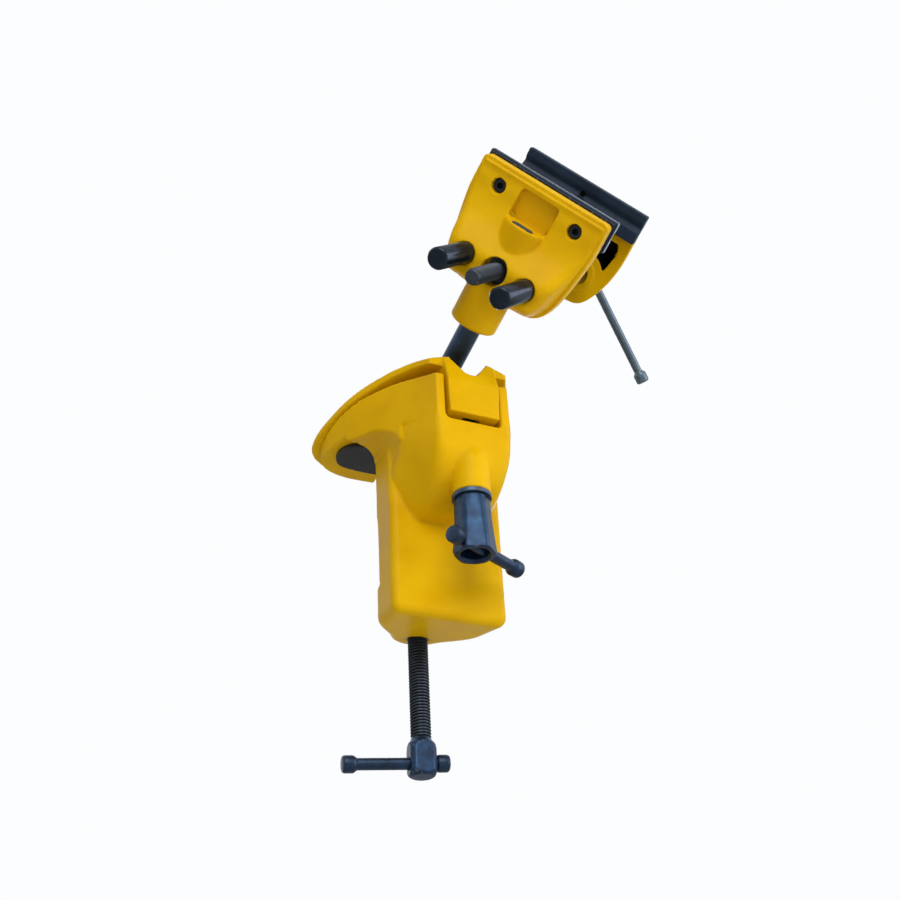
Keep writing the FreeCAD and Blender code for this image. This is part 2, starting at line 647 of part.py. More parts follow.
# Clamp screw, pressure pad and handle
def make_clamp_screw():
    c = V(0, clamp_y, 0)
    tip = pad_top - pad_t - 1.4 - tip_r
    stem = cyl(clamp_d / 2.0, V(0, clamp_y, clamp_head_top - 0.5), V(0, clamp_y, tip - 5.0))
    neck = cyl(3.0, V(0, clamp_y, tip - 6.0), V(0, clamp_y, tip))
    ball = Part.makeSphere(tip_r, V(0, clamp_y, tip))
    shoulder = Part.makeCone(clamp_d / 2.0, 3.2, 1.8, V(0, clamp_y, tip - 5.0))
    w = clamp_head_w / 2.0
    r = clamp_head_d / 2.0
    head = box(-w, w, clamp_y - w, clamp_y + w, clamp_head_low, clamp_head_top)
    head.rotate(c, V(0, 0, 1), clamp_bar_deg)
    bound = lathe([(0, clamp_head_low), (w - 1.2, clamp_head_low), (w + 0.2, clamp_head_low + 0.8),
                   (r, clamp_head_low + 2.4), (r, clamp_head_top - 5.2), (r - 0.8, clamp_head_top - 2.6),
                   (r - 2.2, clamp_head_top - 0.8), (clamp_d / 2.0, clamp_head_top),
                   (0, clamp_head_top)], c)
    head = head.common(bound)
    shape = fuse(stem, shoulder, neck, ball, head)
    a = math.radians(clamp_bar_deg)
    t = math.radians(clamp_bar_droop)
    d = V(math.cos(a) * math.cos(t), math.sin(a) * math.cos(t), -math.sin(t))
    m = V(0, clamp_y, clamp_bar_z)
    return shape.cut(cyl(bar_d / 2.0 + run_gap, m.sub(d * 15), m.add(d * 15)))


def make_pressure_pad():
    tip = pad_top - pad_t - 1.4 - tip_r
    low = pad_top - pad_t - pad_socket_t
    disc = lathe([(0, pad_top), (pad_r - 1.0, pad_top), (pad_r, pad_top - 1.0),
                  (pad_r, pad_top - pad_t + 0.6), (pad_r - 1.2, pad_top - pad_t),
                  (7.2, pad_top - pad_t), (6.4, low), (0, low)], V(0, clamp_y, 0))
    disc = disc.cut(Part.makeSphere(tip_r + run_gap, V(0, clamp_y, tip)))
    throat = math.sqrt((tip_r + run_gap) ** 2 - (tip - low) ** 2)
    disc = disc.cut(cyl(throat + 0.02, V(0, clamp_y, low - 1), V(0, clamp_y, tip - 1.0)))
    ring = lathe([(pad_r - 4.0, pad_top + 0.2), (pad_r - 3.2, pad_top + 0.2),
                  (pad_r - 3.2, pad_top - 0.8), (pad_r - 4.0, pad_top - 0.8)], V(0, clamp_y, 0))
    return disc.cut(ring)


clamp_screw = make_clamp_screw()
pressure_pad = make_pressure_pad()
clamp_near = clamp_head_w / 2.0 + bar_knob_l / 2.0 + 0.2
clamp_bar, clamp_knobs = handle_bar(bar_span, bar_d, bar_knob_d, bar_knob_l, clamp_near,
                                    V(0, clamp_y, clamp_bar_z), clamp_bar_deg, clamp_bar_droop)


# Ball seat cup, a lathe part below the ball
def make_cup():
    profile = [(0, cup_floor), (cup_r - 1.2, cup_floor), (cup_r, cup_floor + 1.2),
               (cup_r, cup_top), (0, cup_top)]
    cup = lathe(profile, V(0, ball_y, 0))
    cup = cup.cut(ball_cut(run_gap))
    return cup.cut(cyl(5.0, V(0, ball_y, cup_floor - 1), V(0, ball_y, ball_z)))


ball_cup = make_cup()


# Vise head in its own upright frame, origin at the ball centre
def make_ball_rod():
    ball = Part.makeSphere(ball_r)
    flat = box(-20, 20, -20, 20, -20, -ball_r + 0.7)
    rod = cyl(rod_d / 2.0, V(0, 0, ball_r - 4.0), V(0, 0, jaw_low + 3.0))
    root = Part.makeCone(rod_d / 2.0 + 1.4, rod_d / 2.0, 2.6, V(0, 0, ball_r - 1.6))
    chamfer = lathe([(rod_d / 2.0 - 1.2, jaw_low + 3.0), (rod_d, jaw_low + 3.0),
                     (rod_d, jaw_low + 1.0), (rod_d / 2.0, jaw_low + 1.8)])
    groove = lathe([(rod_d / 2.0 - 1.2, 52.4), (rod_d, 52.4), (rod_d, 55.6),
                    (rod_d / 2.0 - 1.2, 55.6)])
    shape = fuse(ball.cut(flat), root, rod)
    return shape.cut(chamfer).cut(groove)


def shield_face(pts):
    # Outline of a jaw flange in the XZ plane
    t = jaw_top
    w = shield_top_half
    r = jaw_corner
    k = r * (1.0 - math.sqrt(0.5))
    right = [V(w, 0, t - r)] + [V(x, 0, z) for x, z in pts]
    left = [V(-p.x, 0, p.z) for p in reversed(right)]
    edges = [Part.makeLine(V(-w + r, 0, t), V(w - r, 0, t)),
             Part.Arc(V(w - r, 0, t), V(w - k, 0, t - k), V(w, 0, t - r)).toShape(),
             curve(right + [V(0, 0, jaw_low)] + left),
             Part.Arc(V(-w, 0, t - r), V(-w + k, 0, t - k), V(-w + r, 0, t)).toShape()]
    return Part.Face(Part.Wire(edges))


def half_at(pts, z):
    # Half width of a jaw outline at height z
    if z >= pts[0][1]:
        part = (jaw_top - z) / (jaw_top - pts[0][1])
        return shield_top_half + (pts[0][0] - shield_top_half) * part
    for low, high in zip(pts[1:], pts):
        if z >= low[1]:
            part = (z - low[1]) / (high[1] - low[1])
            return low[0] + (high[0] - low[0]) * part
    return pts[-1][0]


def bulge_wire(pts, flange_t, z, depth, r):
    # Horizontal section of the jaw back with drafted sides and rounded rear corners
    w = half_at(pts, z) - flange_step
    wd = w - (depth - flange_t) * math.tan(math.radians(back_draft))
    y0 = -flange_t + 0.5
    return rounded_wire([(-w, y0), (-wd, -depth), (wd, -depth), (w, y0)], [0, r, r, 0], z)


def jaw_body(pts, flange_t):
    # Jaw casting with its gripping face at Y = 0 and its back at low Y
    flange = shield_face(pts).extrude(V(0, -flange_t, 0))
    upper = [bulge_wire(pts, flange_t, z, depth, r) for z, depth, r in back_rows]
    lower = [bulge_wire(pts, flange_t, z, depth, r) for z, depth, r in foot_rows]
    return fuse(flange, Part.makeLoft(upper, True, False), Part.makeLoft(lower, True, True))


def fixed_jaw_shape():
    face = grip_y - rubber_t - plate_t
    body = jaw_body(shield_near, flange_near_t)
    body.translate(V(0, face, 0))
    # Neck over the ball rod
    neck = lathe([(0, neck_low), (neck_r - 1.0, neck_low), (neck_r, neck_low + 1.0),
                  (neck_r, jaw_low + 12.0), (0, jaw_low + 12.0)])
    cast = box(-neck_r, neck_r, face - 24.0, face, jaw_low - 20, jaw_low + 12.0)
    body = fuse(body, neck.common(cast))
    # Nut housing: a half round pillar below the middle recess
    pillar = cyl(pillar_r, V(0, pillar_y, 82.0), V(0, pillar_y, ledge_z))
    pillar = soften(pillar, 1.2, lambda e, m: m.z > ledge_z - 0.1)
    body = fuse(body, pillar.common(box(-20, 20, -20, face - 1.0, 70, 130)))
    recess = box(-recess_half, recess_half, face - 30, face - recess_floor, ledge_z, recess_top)
    recess = soften(recess, 2.0, lambda e, m: e.BoundBox.YLength > 20)
    body = body.cut(recess)
    # Hollow gripping side with round bosses about the rods
    shell = prism_xz([(-28.6, 103.0), (-28.0, 92.0), (-26.0, 80.0), (-23.6, 71.0), (-19.0, 67.4),
                      (19.0, 67.4), (23.6, 71.0), (26.0, 80.0), (28.0, 92.0), (28.6, 103.0)],
                     face - 24.0, face + 1)
    inner = [(face + 1, back_rows[-1][0] - 2)]
    inner += [(face - depth + back_wall, z) for z, depth, r in reversed(back_rows)]
    inner += [(face + 1, back_rows[0][0])]
    shell = shell.common(prism_yz(inner, -40, 40))
    keep = []
    for x in (-guide_x, guide_x):
        keep.append(cyl(guide_d / 2.0 + 3.4, V(x, face - 24, rod_z), V(x, face, rod_z)))
    keep.append(box(-9.6, 9.6, face - 24, face, 60, 104))
    for s in keep:
        shell = shell.cut(s)
    body = body.cut(shell)
    # Bores
    for x in (-guide_x, guide_x):
        body = body.cut(cyl(guide_d / 2.0 + run_gap, V(x, face - 30, rod_z), V(x, face + 1, rod_z)))
        body = body.cut(Part.makeCone(guide_d / 2.0 + 1.0, guide_d / 2.0, 1.0,
                                      V(x, face - jaw_depth, rod_z), V(0, 1, 0)))
    body = body.cut(cyl(screw_d / 2.0 + 0.4, V(0, face - 30, rod_z), V(0, face + 1, rod_z)))
    body = body.cut(cyl(6.9, V(0, face - 30, rod_z), V(0, nut_y - nut_t / 2.0, rod_z)))
    body = body.cut(box(-nut_w / 2.0 - 0.15, nut_w / 2.0 + 0.15, nut_y - nut_t / 2.0 - 0.15,
                        nut_y + nut_t / 2.0 + 0.15, rod_z - 7.6, ledge_z + 1))
    body = body.cut(cyl(rod_d / 2.0 + run_gap, V(0, 0, neck_low - 1), V(0, 0, jaw_low + 4.0)))
    for x in (-pad_hole_x, pad_hole_x):
        body = body.cut(cyl(pad_hole_d / 2.0, V(x, face - 12, pad_hole_z), V(x, face - 3.4, pad_hole_z)))
        body = body.cut(cyl(2.2, V(x, face - 12, pad_hole_z), V(x, face + 1, pad_hole_z)))
    return body.cut(cyl(3.0, V(0, neck_r + 2, 54.0), V(0, 3.0, 54.0)))


def moving_jaw_shape():
    face = grip_y + jaw_open + rubber_t + plate_t
    body = jaw_body(shield_far, flange_far_t)
    body.rotate(V(0, 0, 0), V(0, 0, 1), 180)
    body.translate(V(0, face, 0))
    # Hollow below the pad over the solid block that holds the rods
    shell = prism_xz([(-29.5, 102.0), (-31.0, 99.0), (-31.2, 95.0), (-30.0, 88.0), (-28.0, 80.0),
                      (28.0, 80.0), (30.0, 88.0), (31.2, 95.0), (31.0, 99.0), (29.5, 102.0)],
                     face - 1, face + 15.4)
    inner = [(face - 1, back_rows[-1][0] - 2)]
    inner += [(face + depth - back_wall, z) for z, depth, r in reversed(back_rows)]
    inner += [(face - 1, back_rows[0][0])]
    shell = shell.common(prism_yz(inner, -40, 40))
    for x in (-guide_x, guide_x):
        shell = shell.cut(cyl(rod_block_r, V(x, face - 1, rod_z), V(x, face + 20, rod_z)))
    shell = shell.cut(cyl(screw_d / 2.0 + 3.6, V(0, face + 8.0, rod_z), V(0, face + 20, rod_z)))
    shell = shell.cut(box(-1.6, 1.6, face + 4.0, face + 20, rod_z + 6.0, 106))
    body = body.cut(shell)
    for x in (-guide_x, guide_x):
        ring = cyl(rod_ring_r, V(x, face - rod_ring_h, rod_z), V(x, face + 2.0, rod_z))
        body = fuse(body, soften(ring, 0.5, lambda e, m: m.y < face))
    # Round boss that carries the screw shoulder
    boss = lathe([(0, 0), (10.4, 0), (10.4, jaw_face_far - face - 8.0),
                  (9.2, jaw_face_far - face - 6.8), (0, jaw_face_far - face - 6.8)],
                 V(0, face + 6.8, rod_z), V(0, 1, 0))
    boss = boss.cut(box(-20, 20, face - 1, face + 15.4, 50, 100))
    body = fuse(body, boss)
    # Spot face for the thrust washer, then the pocket for the retaining clip
    body = body.cut(cyl(spot_r, V(0, jaw_face_far, rod_z), V(0, jaw_face_far + 5.0, rod_z)))
    body = body.cut(cyl(clip_room_r, V(0, face - 1, rod_z), V(0, face + clip_seat, rod_z)))
    for x in (-guide_x, guide_x):
        body = body.cut(cyl(guide_d / 2.0, V(x, face - 1, rod_z), V(x, face + 20.4, rod_z)))
        body = body.cut(cyl(1.5, V(x, face + 11.0, rod_z - 20), V(x, face + 11.0, rod_z + 5.0)))
    body = body.cut(cyl(screw_d / 2.0 + run_gap, V(0, face - 1, rod_z), V(0, face + 40, rod_z)))
    for x in (-pad_hole_x, pad_hole_x):
        body = body.cut(cyl(pad_hole_d / 2.0, V(x, face + 3.4, pad_hole_z), V(x, face + 12, pad_hole_z)))
        body = body.cut(cyl(2.2, V(x, face - 1, pad_hole_z), V(x, face + 12, pad_hole_z)))
    return body


def pad_plate(y0, y1):
    # Steel backing plate between a jaw and its soft pad
    plate = box(-pad_half + 1.0, pad_half - 1.0, y0, y1, pad_low + 0.6, pad_high - 0.7)
    for x in (-pad_hole_x, pad_hole_x):
        plate = plate.cut(cyl(2.0, V(x, y0 - 1, pad_hole_z), V(x, y1 + 1, pad_hole_z)))
    return plate


def soft_pad(y_back, y_grip):
    # Soft jaw pad with a long V groove, a short upright V groove and a middle hole
    s = 1.0 if y_grip > y_back else -1.0
    pad = box(-pad_half, pad_half, min(y_back, y_grip), max(y_back, y_grip), pad_low, pad_high)
    pad = soften(pad, 0.8, lambda e, m: e.BoundBox.YLength > 3)
    gz = 116.4
    v = prism_yz([(y_grip + s * 0.1, gz - 3.2), (y_grip + s * 0.1, gz + 3.2),
                  (y_grip - s * 2.0, gz)], -40, 40)
    pad = pad.cut(v)
    up = prism_xy([(-3.0, y_grip + s * 0.1), (3.0, y_grip + s * 0.1), (0, y_grip - s * 2.0)],
                  pad_low - 1, gz)
    pad = pad.cut(up)
    return pad.cut(cyl(1.7, V(0, y_back - s, gz), V(0, y_grip + s, gz)))


def pad_screws(y_seat, y_end):
    # Two pan head screws that pass through the jaw into the backing plate
    s = 1.0 if y_end > y_seat else -1.0
    out = []
    for x in (-pad_hole_x, pad_hole_x):
        head = lathe([(0, -2.4), (2.4, -2.4), (3.3, -1.5), (3.3, 0), (0, 0)],
                     V(x, y_seat, pad_hole_z), V(0, s, 0))
        shank = cyl(2.0, V(x, y_seat, pad_hole_z), V(x, y_end, pad_hole_z))
        socket = cyl(1.3, V(x, y_seat - s * 2.5, pad_hole_z), V(x, y_seat - s * 1.0, pad_hole_z))
        out.append(head.fuse(shank).cut(socket).removeSplitter())
    return Part.makeCompound(out)


face_fix = grip_y - rubber_t - plate_t
face_mov = grip_y + jaw_open + rubber_t + plate_t
parts_head = {}
parts_head["fixed_jaw"] = fixed_jaw_shape()
parts_head["fixed_plate"] = pad_plate(face_fix, face_fix + plate_t)
parts_head["fixed_pad"] = soft_pad(face_fix + plate_t, grip_y)
parts_head["fixed_pad_screws"] = pad_screws(face_fix - 3.4, face_fix + plate_t)
nut = box(-nut_w / 2.0, nut_w / 2.0, nut_y - nut_t / 2.0, nut_y + nut_t / 2.0, rod_z - 7.4, nut_top)
nut = nut.cut(cyl(screw_d / 2.0 + run_gap, V(0, nut_y - 5, rod_z), V(0, nut_y + 5, rod_z)))
parts_head["captive_nut"] = nut
collar_screw = cyl(3.0, V(0, rod_d / 2.0 + 0.4, 54.0), V(0, neck_r - 0.6, 54.0))
collar_tip = cyl(1.4, V(0, rod_d / 2.0 - 1.0, 54.0), V(0, rod_d / 2.0 + 0.6, 54.0))
hex_key = Part.Face(Part.Wire(hexagon(3.0, 0, 0, 0, 0).Edges)).extrude(V(0, 0, 3.0))
hex_key.Placement = FreeCAD.Placement(V(0, neck_r + 0.4, 54.0), FreeCAD.Rotation(V(0, 0, 1), V(0, -1, 0)))
parts_head["collar_screw"] = fuse(collar_screw, collar_tip).cut(hex_key)
parts_head["moving_jaw"] = moving_jaw_shape()
parts_head["moving_plate"] = pad_plate(face_mov - plate_t, face_mov)
parts_head["moving_pad"] = soft_pad(face_mov - plate_t, grip_y + jaw_open)
parts_head["moving_pad_screws"] = pad_screws(face_mov + 3.4, face_mov - plate_t)


def guide_rod(x):
    y1 = face_mov + 20.4
    c = 1.2
    r = guide_d / 2.0
    prof = [(0, 0), (r - c, 0), (r, c), (r, y1 - guide_end), (0, y1 - guide_end)]
    rod = lathe(prof, V(x, guide_end, rod_z), V(0, 1, 0))
    return rod.cut(cyl(1.5, V(x, face_mov + 11.0, rod_z - 20), V(x, face_mov + 11.0, rod_z + 5.0)))


parts_head["guide_rods"] = Part.makeCompound([guide_rod(-guide_x), guide_rod(guide_x)])
pins = [cyl(1.5, V(x, face_mov + 11.0, rod_z - 8.4), V(x, face_mov + 11.0, rod_z + 5.0))
        for x in (-guide_x, guide_x)]
parts_head["guide_pins"] = Part.makeCompound(pins)


def make_jaw_screw():
    r = screw_d / 2.0
    c = 1.2
    length = jaw_face_far - screw_end
    shoulder = length + thrust_gap + thrust_t
    prof = [(0, 0), (r - c, 0), (r, c), (r, shoulder), (head_r + 1.4, shoulder),
            (head_r + 1.4, shoulder + 2.5), (head_r - 0.6, shoulder + 4.5),
            (head_r - 0.6, length + jaw_bar_at - 6.6), (head_r, length + jaw_bar_at - 5.0),
            (head_r, length + head_len - 1.4), (head_r - 1.4, length + head_len),
            (0, length + head_len)]
    screw = lathe(prof, V(0, screw_end, rod_z), V(0, 1, 0))
    a = math.radians(jaw_bar_deg)
    d = V(math.cos(a), 0, math.sin(a))
    m = V(0, jaw_face_far + jaw_bar_at, rod_z)
    screw = screw.cut(cyl(jaw_bar_d / 2.0 + run_gap, m.sub(d * 15), m.add(d * 15)))
    clip_y = face_mov + clip_seat - 1.4 - screw_end
    groove = lathe([(r - 1.0, clip_y), (r + 2, clip_y), (r + 2, clip_y + 1.3), (r - 1.0, clip_y + 1.3)],
                   V(0, screw_end, rod_z), V(0, 1, 0))
    return screw.cut(groove)


parts_head["jaw_screw"] = make_jaw_screw()
parts_head["thrust_washer"] = lathe([(screw_d / 2.0 + slip_gap, 0), (thrust_r, 0), (thrust_r, thrust_t),
                                     (screw_d / 2.0 + slip_gap, thrust_t)],
                                    V(0, jaw_face_far + thrust_gap, rod_z), V(0, 1, 0))
clip = lathe([(screw_d / 2.0 - 1.0, 0), (screw_d / 2.0 + 2.6, 0), (screw_d / 2.0 + 2.6, 1.3),
              (screw_d / 2.0 - 1.0, 1.3)], V(0, face_mov + clip_seat - 1.4, rod_z), V(0, 1, 0))
clip = clip.cut(box(-2.2, 2.2, face_mov, face_mov + 10, rod_z, rod_z + 12))
parts_head["retaining_clip"] = clip


def make_jaw_bar():
    near = head_r + jaw_bar_knob_l / 2.0 + 0.2
    m = V(0, jaw_face_far + jaw_bar_at, rod_z)
    return handle_bar(jaw_bar_span, jaw_bar_d, jaw_bar_knob_d, jaw_bar_knob_l, near, m, 0.0,
                      -jaw_bar_deg)


jaw_bar, jaw_knobs = make_jaw_bar()
parts_head["jaw_bar"] = jaw_bar
parts_head["jaw_bar_knobs"] = jaw_knobs
parts_head["ball_rod"] = make_ball_rod()

pose = FreeCAD.Rotation(V(0, 0, 1), pan_deg)
pose = pose.multiply(FreeCAD.Rotation(V(1, 0, 0), tilt_deg))
pose = pose.multiply(FreeCAD.Rotation(V(0, 0, 1), head_spin))
place = FreeCAD.Placement(V(0, ball_y, ball_z), pose)

nodes = {}
nodes["frame_casting"] = frame
nodes["seat_pad"] = seat_pad
nodes["lid_pin"] = lid_pin
nodes["lid_casting"] = lid
nodes["stud_pin"] = stud_pin
nodes["lock_stud"] = lock_stud
nodes["lock_nut"] = lock_nut
nodes["lock_washer"] = lock_washer
nodes["lock_bar"] = lock_bar
nodes["lock_bar_knobs"] = lock_knobs
nodes["clamp_screw"] = clamp_screw
nodes["pressure_pad"] = pressure_pad
nodes["clamp_bar"] = clamp_bar
nodes["clamp_bar_knobs"] = clamp_knobs
nodes["ball_cup"] = ball_cup
for name, shape in parts_head.items():
    posed = shape.copy()
    posed.Placement = place.multiply(posed.Placement)
    nodes[name] = posed

for name, shape in nodes.items():
    shape.exportStep("parts/" + name + ".step")
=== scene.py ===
"""Looks of a clamp-on bench vise with a ball jointed head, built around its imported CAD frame.

Run as a script. It is laid out as an add-on, so that each group of pieces is one operator whose
sizes and colours stand in the sidebar. Sizes are in millimetres, and the scene is in metres.
"""

from collections import namedtuple
import json
import math

import bmesh
import bpy
from bpy.props import FloatProperty, IntProperty, StringProperty
from mathutils import Matrix, Vector


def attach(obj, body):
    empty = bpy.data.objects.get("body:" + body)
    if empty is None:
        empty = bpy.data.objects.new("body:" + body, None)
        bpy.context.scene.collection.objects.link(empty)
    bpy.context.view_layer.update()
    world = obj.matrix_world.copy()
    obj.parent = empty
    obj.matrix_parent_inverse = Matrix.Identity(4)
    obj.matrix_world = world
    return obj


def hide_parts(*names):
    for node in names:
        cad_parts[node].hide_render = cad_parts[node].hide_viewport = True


bl_info = {
    "name": "Ball Joint Bench Vise",
    "version": (1, 0, 0),
    "blender": (4, 2, 0),
    "location": "3D View > Sidebar > Vise",
    "description": "Cast, turned and moulded pieces of a clamp-on bench vise with a ball jointed head",
    "category": "Add Mesh",
}

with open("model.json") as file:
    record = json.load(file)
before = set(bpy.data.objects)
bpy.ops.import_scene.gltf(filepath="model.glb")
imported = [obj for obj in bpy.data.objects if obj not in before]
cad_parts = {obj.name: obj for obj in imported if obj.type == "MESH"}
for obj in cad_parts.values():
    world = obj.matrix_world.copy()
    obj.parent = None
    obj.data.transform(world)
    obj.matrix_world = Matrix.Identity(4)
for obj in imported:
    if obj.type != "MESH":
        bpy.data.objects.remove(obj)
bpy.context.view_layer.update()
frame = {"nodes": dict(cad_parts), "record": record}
MM = 0.001
UNMOVED = Matrix.Identity(4)

# Ball centre and head pose, as in the solids
BALL = Vector((0.0, -11.7, 30.6))
PAN, TILT, SPIN = 7.3, 63.7, -43.2

# Lock nut and clamp screw: their axes stand upright at these places
STUD_Y = -49.2
CLAMP_Y = 19.2
NUT_TOP, NUT_LOW = -52.2, -81.0
NUT_FLATS_TOP, NUT_FLATS_LOW = 15.5, 17.8
NUT_TURN = 40.3
CLAMP_HEAD_W = 12.4

# Cross bars: span between the middles of the knobs, bar and knob diameters, knob length
Bar = namedtuple("Bar", "span width knob_d knob_l")
SHORT_BAR = Bar(43.8, 5.6, 8.2, 6.6)
JAW_BAR = Bar(94.4, 4.8, 7.6, 6.6)
LOCK_BAR_Z, LOCK_BAR_TURN, LOCK_KNOB_GAP = -76.0, 27.1, 1.2
CLAMP_BAR_Z, CLAMP_BAR_TURN, CLAMP_BAR_DROOP = -154.2, 171.0, 2.9
JAW_BAR_Y, JAW_BAR_TURN, JAW_HEAD_R = 126.0, -32.1, 7.2
KNOB_GAP = 0.2

# Head, in its own axes: +Y from the near jaw to the far one and +Z away from the ball
SCREW_Z = 77.3
GUIDE_X, GUIDE_R = 17.8, 5.5
GUIDE_END, GUIDE_TOP = -44.0, 97.9
SCREW_END, SCREW_CUT = -39.2, 76.0
PAD_SCREW_X, PAD_SCREW_Z = 22.3, 111.2
NUT_Y = -1.7
FAR_JAW_FACE, FAR_JAW_WALL = 77.55, 3.8
# Height and outer depth of the far jaw's back
FAR_JAW_BACK = ((113.0, 8.1), (107.0, 8.4), (102.0, 9.4), (98.0, 10.9), (94.6, 12.7), (91.4, 15.0),
                (88.6, 17.3), (86.0, 19.4), (83.6, 21.3), (81.0, 22.7), (77.5, 23.2))


def turn(degrees, axis):
    """Turning matrix about one axis."""
    return Matrix.Rotation(math.radians(degrees), 4, axis)


HEAD = Matrix.Translation(BALL) @ turn(PAN, "Z") @ turn(TILT, "X") @ turn(SPIN, "Z")


def aimed(point, direction):
    """Matrix that puts the origin at a point and turns +Z to a direction."""
    return Matrix.Translation(Vector(point)) @ Vector(direction).to_track_quat("Z", "Y").to_matrix().to_4x4()


# Meshes


def lathe(profile, steps=64):
    """Turned solid about Z from (radius, height) points."""
    bm = bmesh.new()
    verts = [bm.verts.new((r, 0.0, z)) for r, z in profile]
    edges = [bm.edges.new(pair) for pair in zip(verts, verts[1:])]
    bmesh.ops.spin(bm, geom=verts + edges, cent=(0, 0, 0), axis=(0, 0, 1), angle=math.tau,
                   steps=steps, use_merge=True)
    bmesh.ops.remove_doubles(bm, verts=bm.verts, dist=1e-4)
    bmesh.ops.recalc_face_normals(bm, faces=bm.faces)
    return bm


def screw_thread(core, crest, pitch, start, end, steps=28):
    """Ridge of a right-hand thread about Z as a closed strip that runs out into the core."""
    bm = bmesh.new()
    inside = core - 0.25
    half = pitch * 0.46
    flat = pitch * 0.09
    section = [(inside, -half), (core, -half * 0.86), (crest, -flat), (crest, flat),
               (core, half * 0.86), (inside, half)]
    verts = [bm.verts.new((r, 0.0, start + z)) for r, z in section]
    bm.faces.new(verts)
    turns = (end - start) / pitch
    count = max(4, round(turns * steps))
    done = bmesh.ops.spin(bm, geom=list(bm.verts) + list(bm.edges), cent=(0, 0, 0), axis=(0, 0, 1),
                          dvec=(0, 0, (end - start) / count), angle=math.tau * turns, steps=count)
    last = [g for g in done["geom_last"] if isinstance(g, bmesh.types.BMVert)]
    bmesh.ops.contextual_create(bm, geom=last)
    # The ridge sinks into the core over its first and last turn
    for v in bm.verts:
        away = min(v.co.z - start, end - v.co.z) / pitch
        if away < 1.0:
            r = math.hypot(v.co.x, v.co.y)
            k = (inside + (r - inside) * max(0.0, min(1.0, away))) / r
            v.co.x *= k
            v.co.y *= k
    bmesh.ops.recalc_face_normals(bm, faces=bm.faces)
    return bm


def pressed_hexagon(bm, low, high, turned):
    """Presses six flats into a turned shape; low and high are (height, width across flats)."""
    side = math.radians(60.0)
    for v in bm.verts:
        share = max(0.0, min(1.0, (v.co.z - low[0]) / (high[0] - low[0])))
        half = (low[1] + (high[1] - low[1]) * share) / 2.0
        angle = math.atan2(v.co.y, v.co.x) - math.radians(turned)
        away = (angle + side / 2.0) % side - side / 2.0
        most = half / math.cos(away)
        r = math.hypot(v.co.x, v.co.y)
        if r > most:
            v.co.x *= most / r
            v.co.y *= most / r
    return bm


def prism(outline, low, high):
    """Straight solid along Z from (x, y) points."""
    bm = bmesh.new()
    face = bm.faces.new([bm.verts.new((x, y, low)) for x, y in outline])
    grown = bmesh.ops.extrude_face_region(bm, geom=[face])
    up = [g for g in grown["geom"] if isinstance(g, bmesh.types.BMVert)]
    bmesh.ops.translate(bm, vec=(0, 0, high - low), verts=up)
    bmesh.ops.recalc_face_normals(bm, faces=bm.faces)
    return bm


def block(x0, x1, y0, y1, z0, z1):
    """Box between two corners."""
    bm = bmesh.new()
    bmesh.ops.create_cube(bm, size=1.0)
    bmesh.ops.scale(bm, vec=(x1 - x0, y1 - y0, z1 - z0), verts=bm.verts)
    bmesh.ops.translate(bm, vec=((x0 + x1) / 2, (y0 + y1) / 2, (z0 + z1) / 2), verts=bm.verts)
    return bm


def half_round(centre, radius, steps=12):
    """Points of a half circle that bulges to +X from its centre on the X axis."""
    angles = [math.radians(-90.0 + 180.0 * i / steps) for i in range(steps + 1)]
    return [(centre + radius * math.cos(a), radius * math.sin(a)) for a in angles]


def rounded_ends(half_l, half_w):
    """Outline of a long shape with half round ends, about the origin along X."""
    end = half_round(half_l - half_w, half_w)
    return end + [(-x, -y) for x, y in end]


def cut_off(bm, point, normal, **clear):
    """Cuts a closed bmesh at a plane, drops the side that clear names and closes the cut."""
    bmesh.ops.bisect_plane(bm, geom=bm.verts[:] + bm.edges[:] + bm.faces[:], plane_co=point,
                           plane_no=normal, **clear)
    rim = [e for e in bm.edges if e.is_boundary]
    bmesh.ops.holes_fill(bm, edges=rim, sides=0)
    return bm


def joined(parts):
    """One bmesh from (bmesh, matrix) pairs."""
    out = bmesh.new()
    for bm, matrix in parts:
        bmesh.ops.transform(bm, matrix=matrix, verts=bm.verts)
        mesh = bpy.data.meshes.new("joining")
        bm.to_mesh(mesh)
        out.from_mesh(mesh)
        bm.free()
        bpy.data.meshes.remove(mesh)
    return out


def piece(name, bm, body, material, replaced, bevel=0.0, sharp=35.0):
    """Object at the origin from a bmesh in millimetres, riding on its CAD body."""
    bmesh.ops.scale(bm, vec=(MM, MM, MM), verts=bm.verts)
    mesh = bpy.data.meshes.new(name)
    bm.to_mesh(mesh)
    bm.free()
    dress(name, mesh, body, material, replaced, bevel, sharp)


def dress(name, mesh, body, material, replaced, bevel=0.0, sharp=0.0):
    """Object from a mesh in metres that takes the place of the replaced CAD nodes."""
    obj = bpy.data.objects.new(name, mesh)
    bpy.context.scene.collection.objects.link(obj)
    mesh.polygons.foreach_set("use_smooth", [True] * len(mesh.polygons))
    if sharp:
        mesh.set_sharp_from_angle(angle=math.radians(sharp))
    if bevel:
        mod = obj.modifiers.new("edge", "BEVEL")
        mod.width = bevel * MM
        mod.segments = 2
        mod.limit_method = "ANGLE"
        mod.angle_limit = math.radians(32.0)
    mesh.materials.clear()
    mesh.materials.append(material)
    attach(obj, body)
    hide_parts(*replaced)


def cad_copy(node):
    """Merged copy of a CAD node's mesh, in metres."""
    bm = bmesh.new()
    bm.from_mesh(frame["nodes"][node].data)
    bmesh.ops.remove_doubles(bm, verts=bm.verts, dist=2e-6)
    return bm


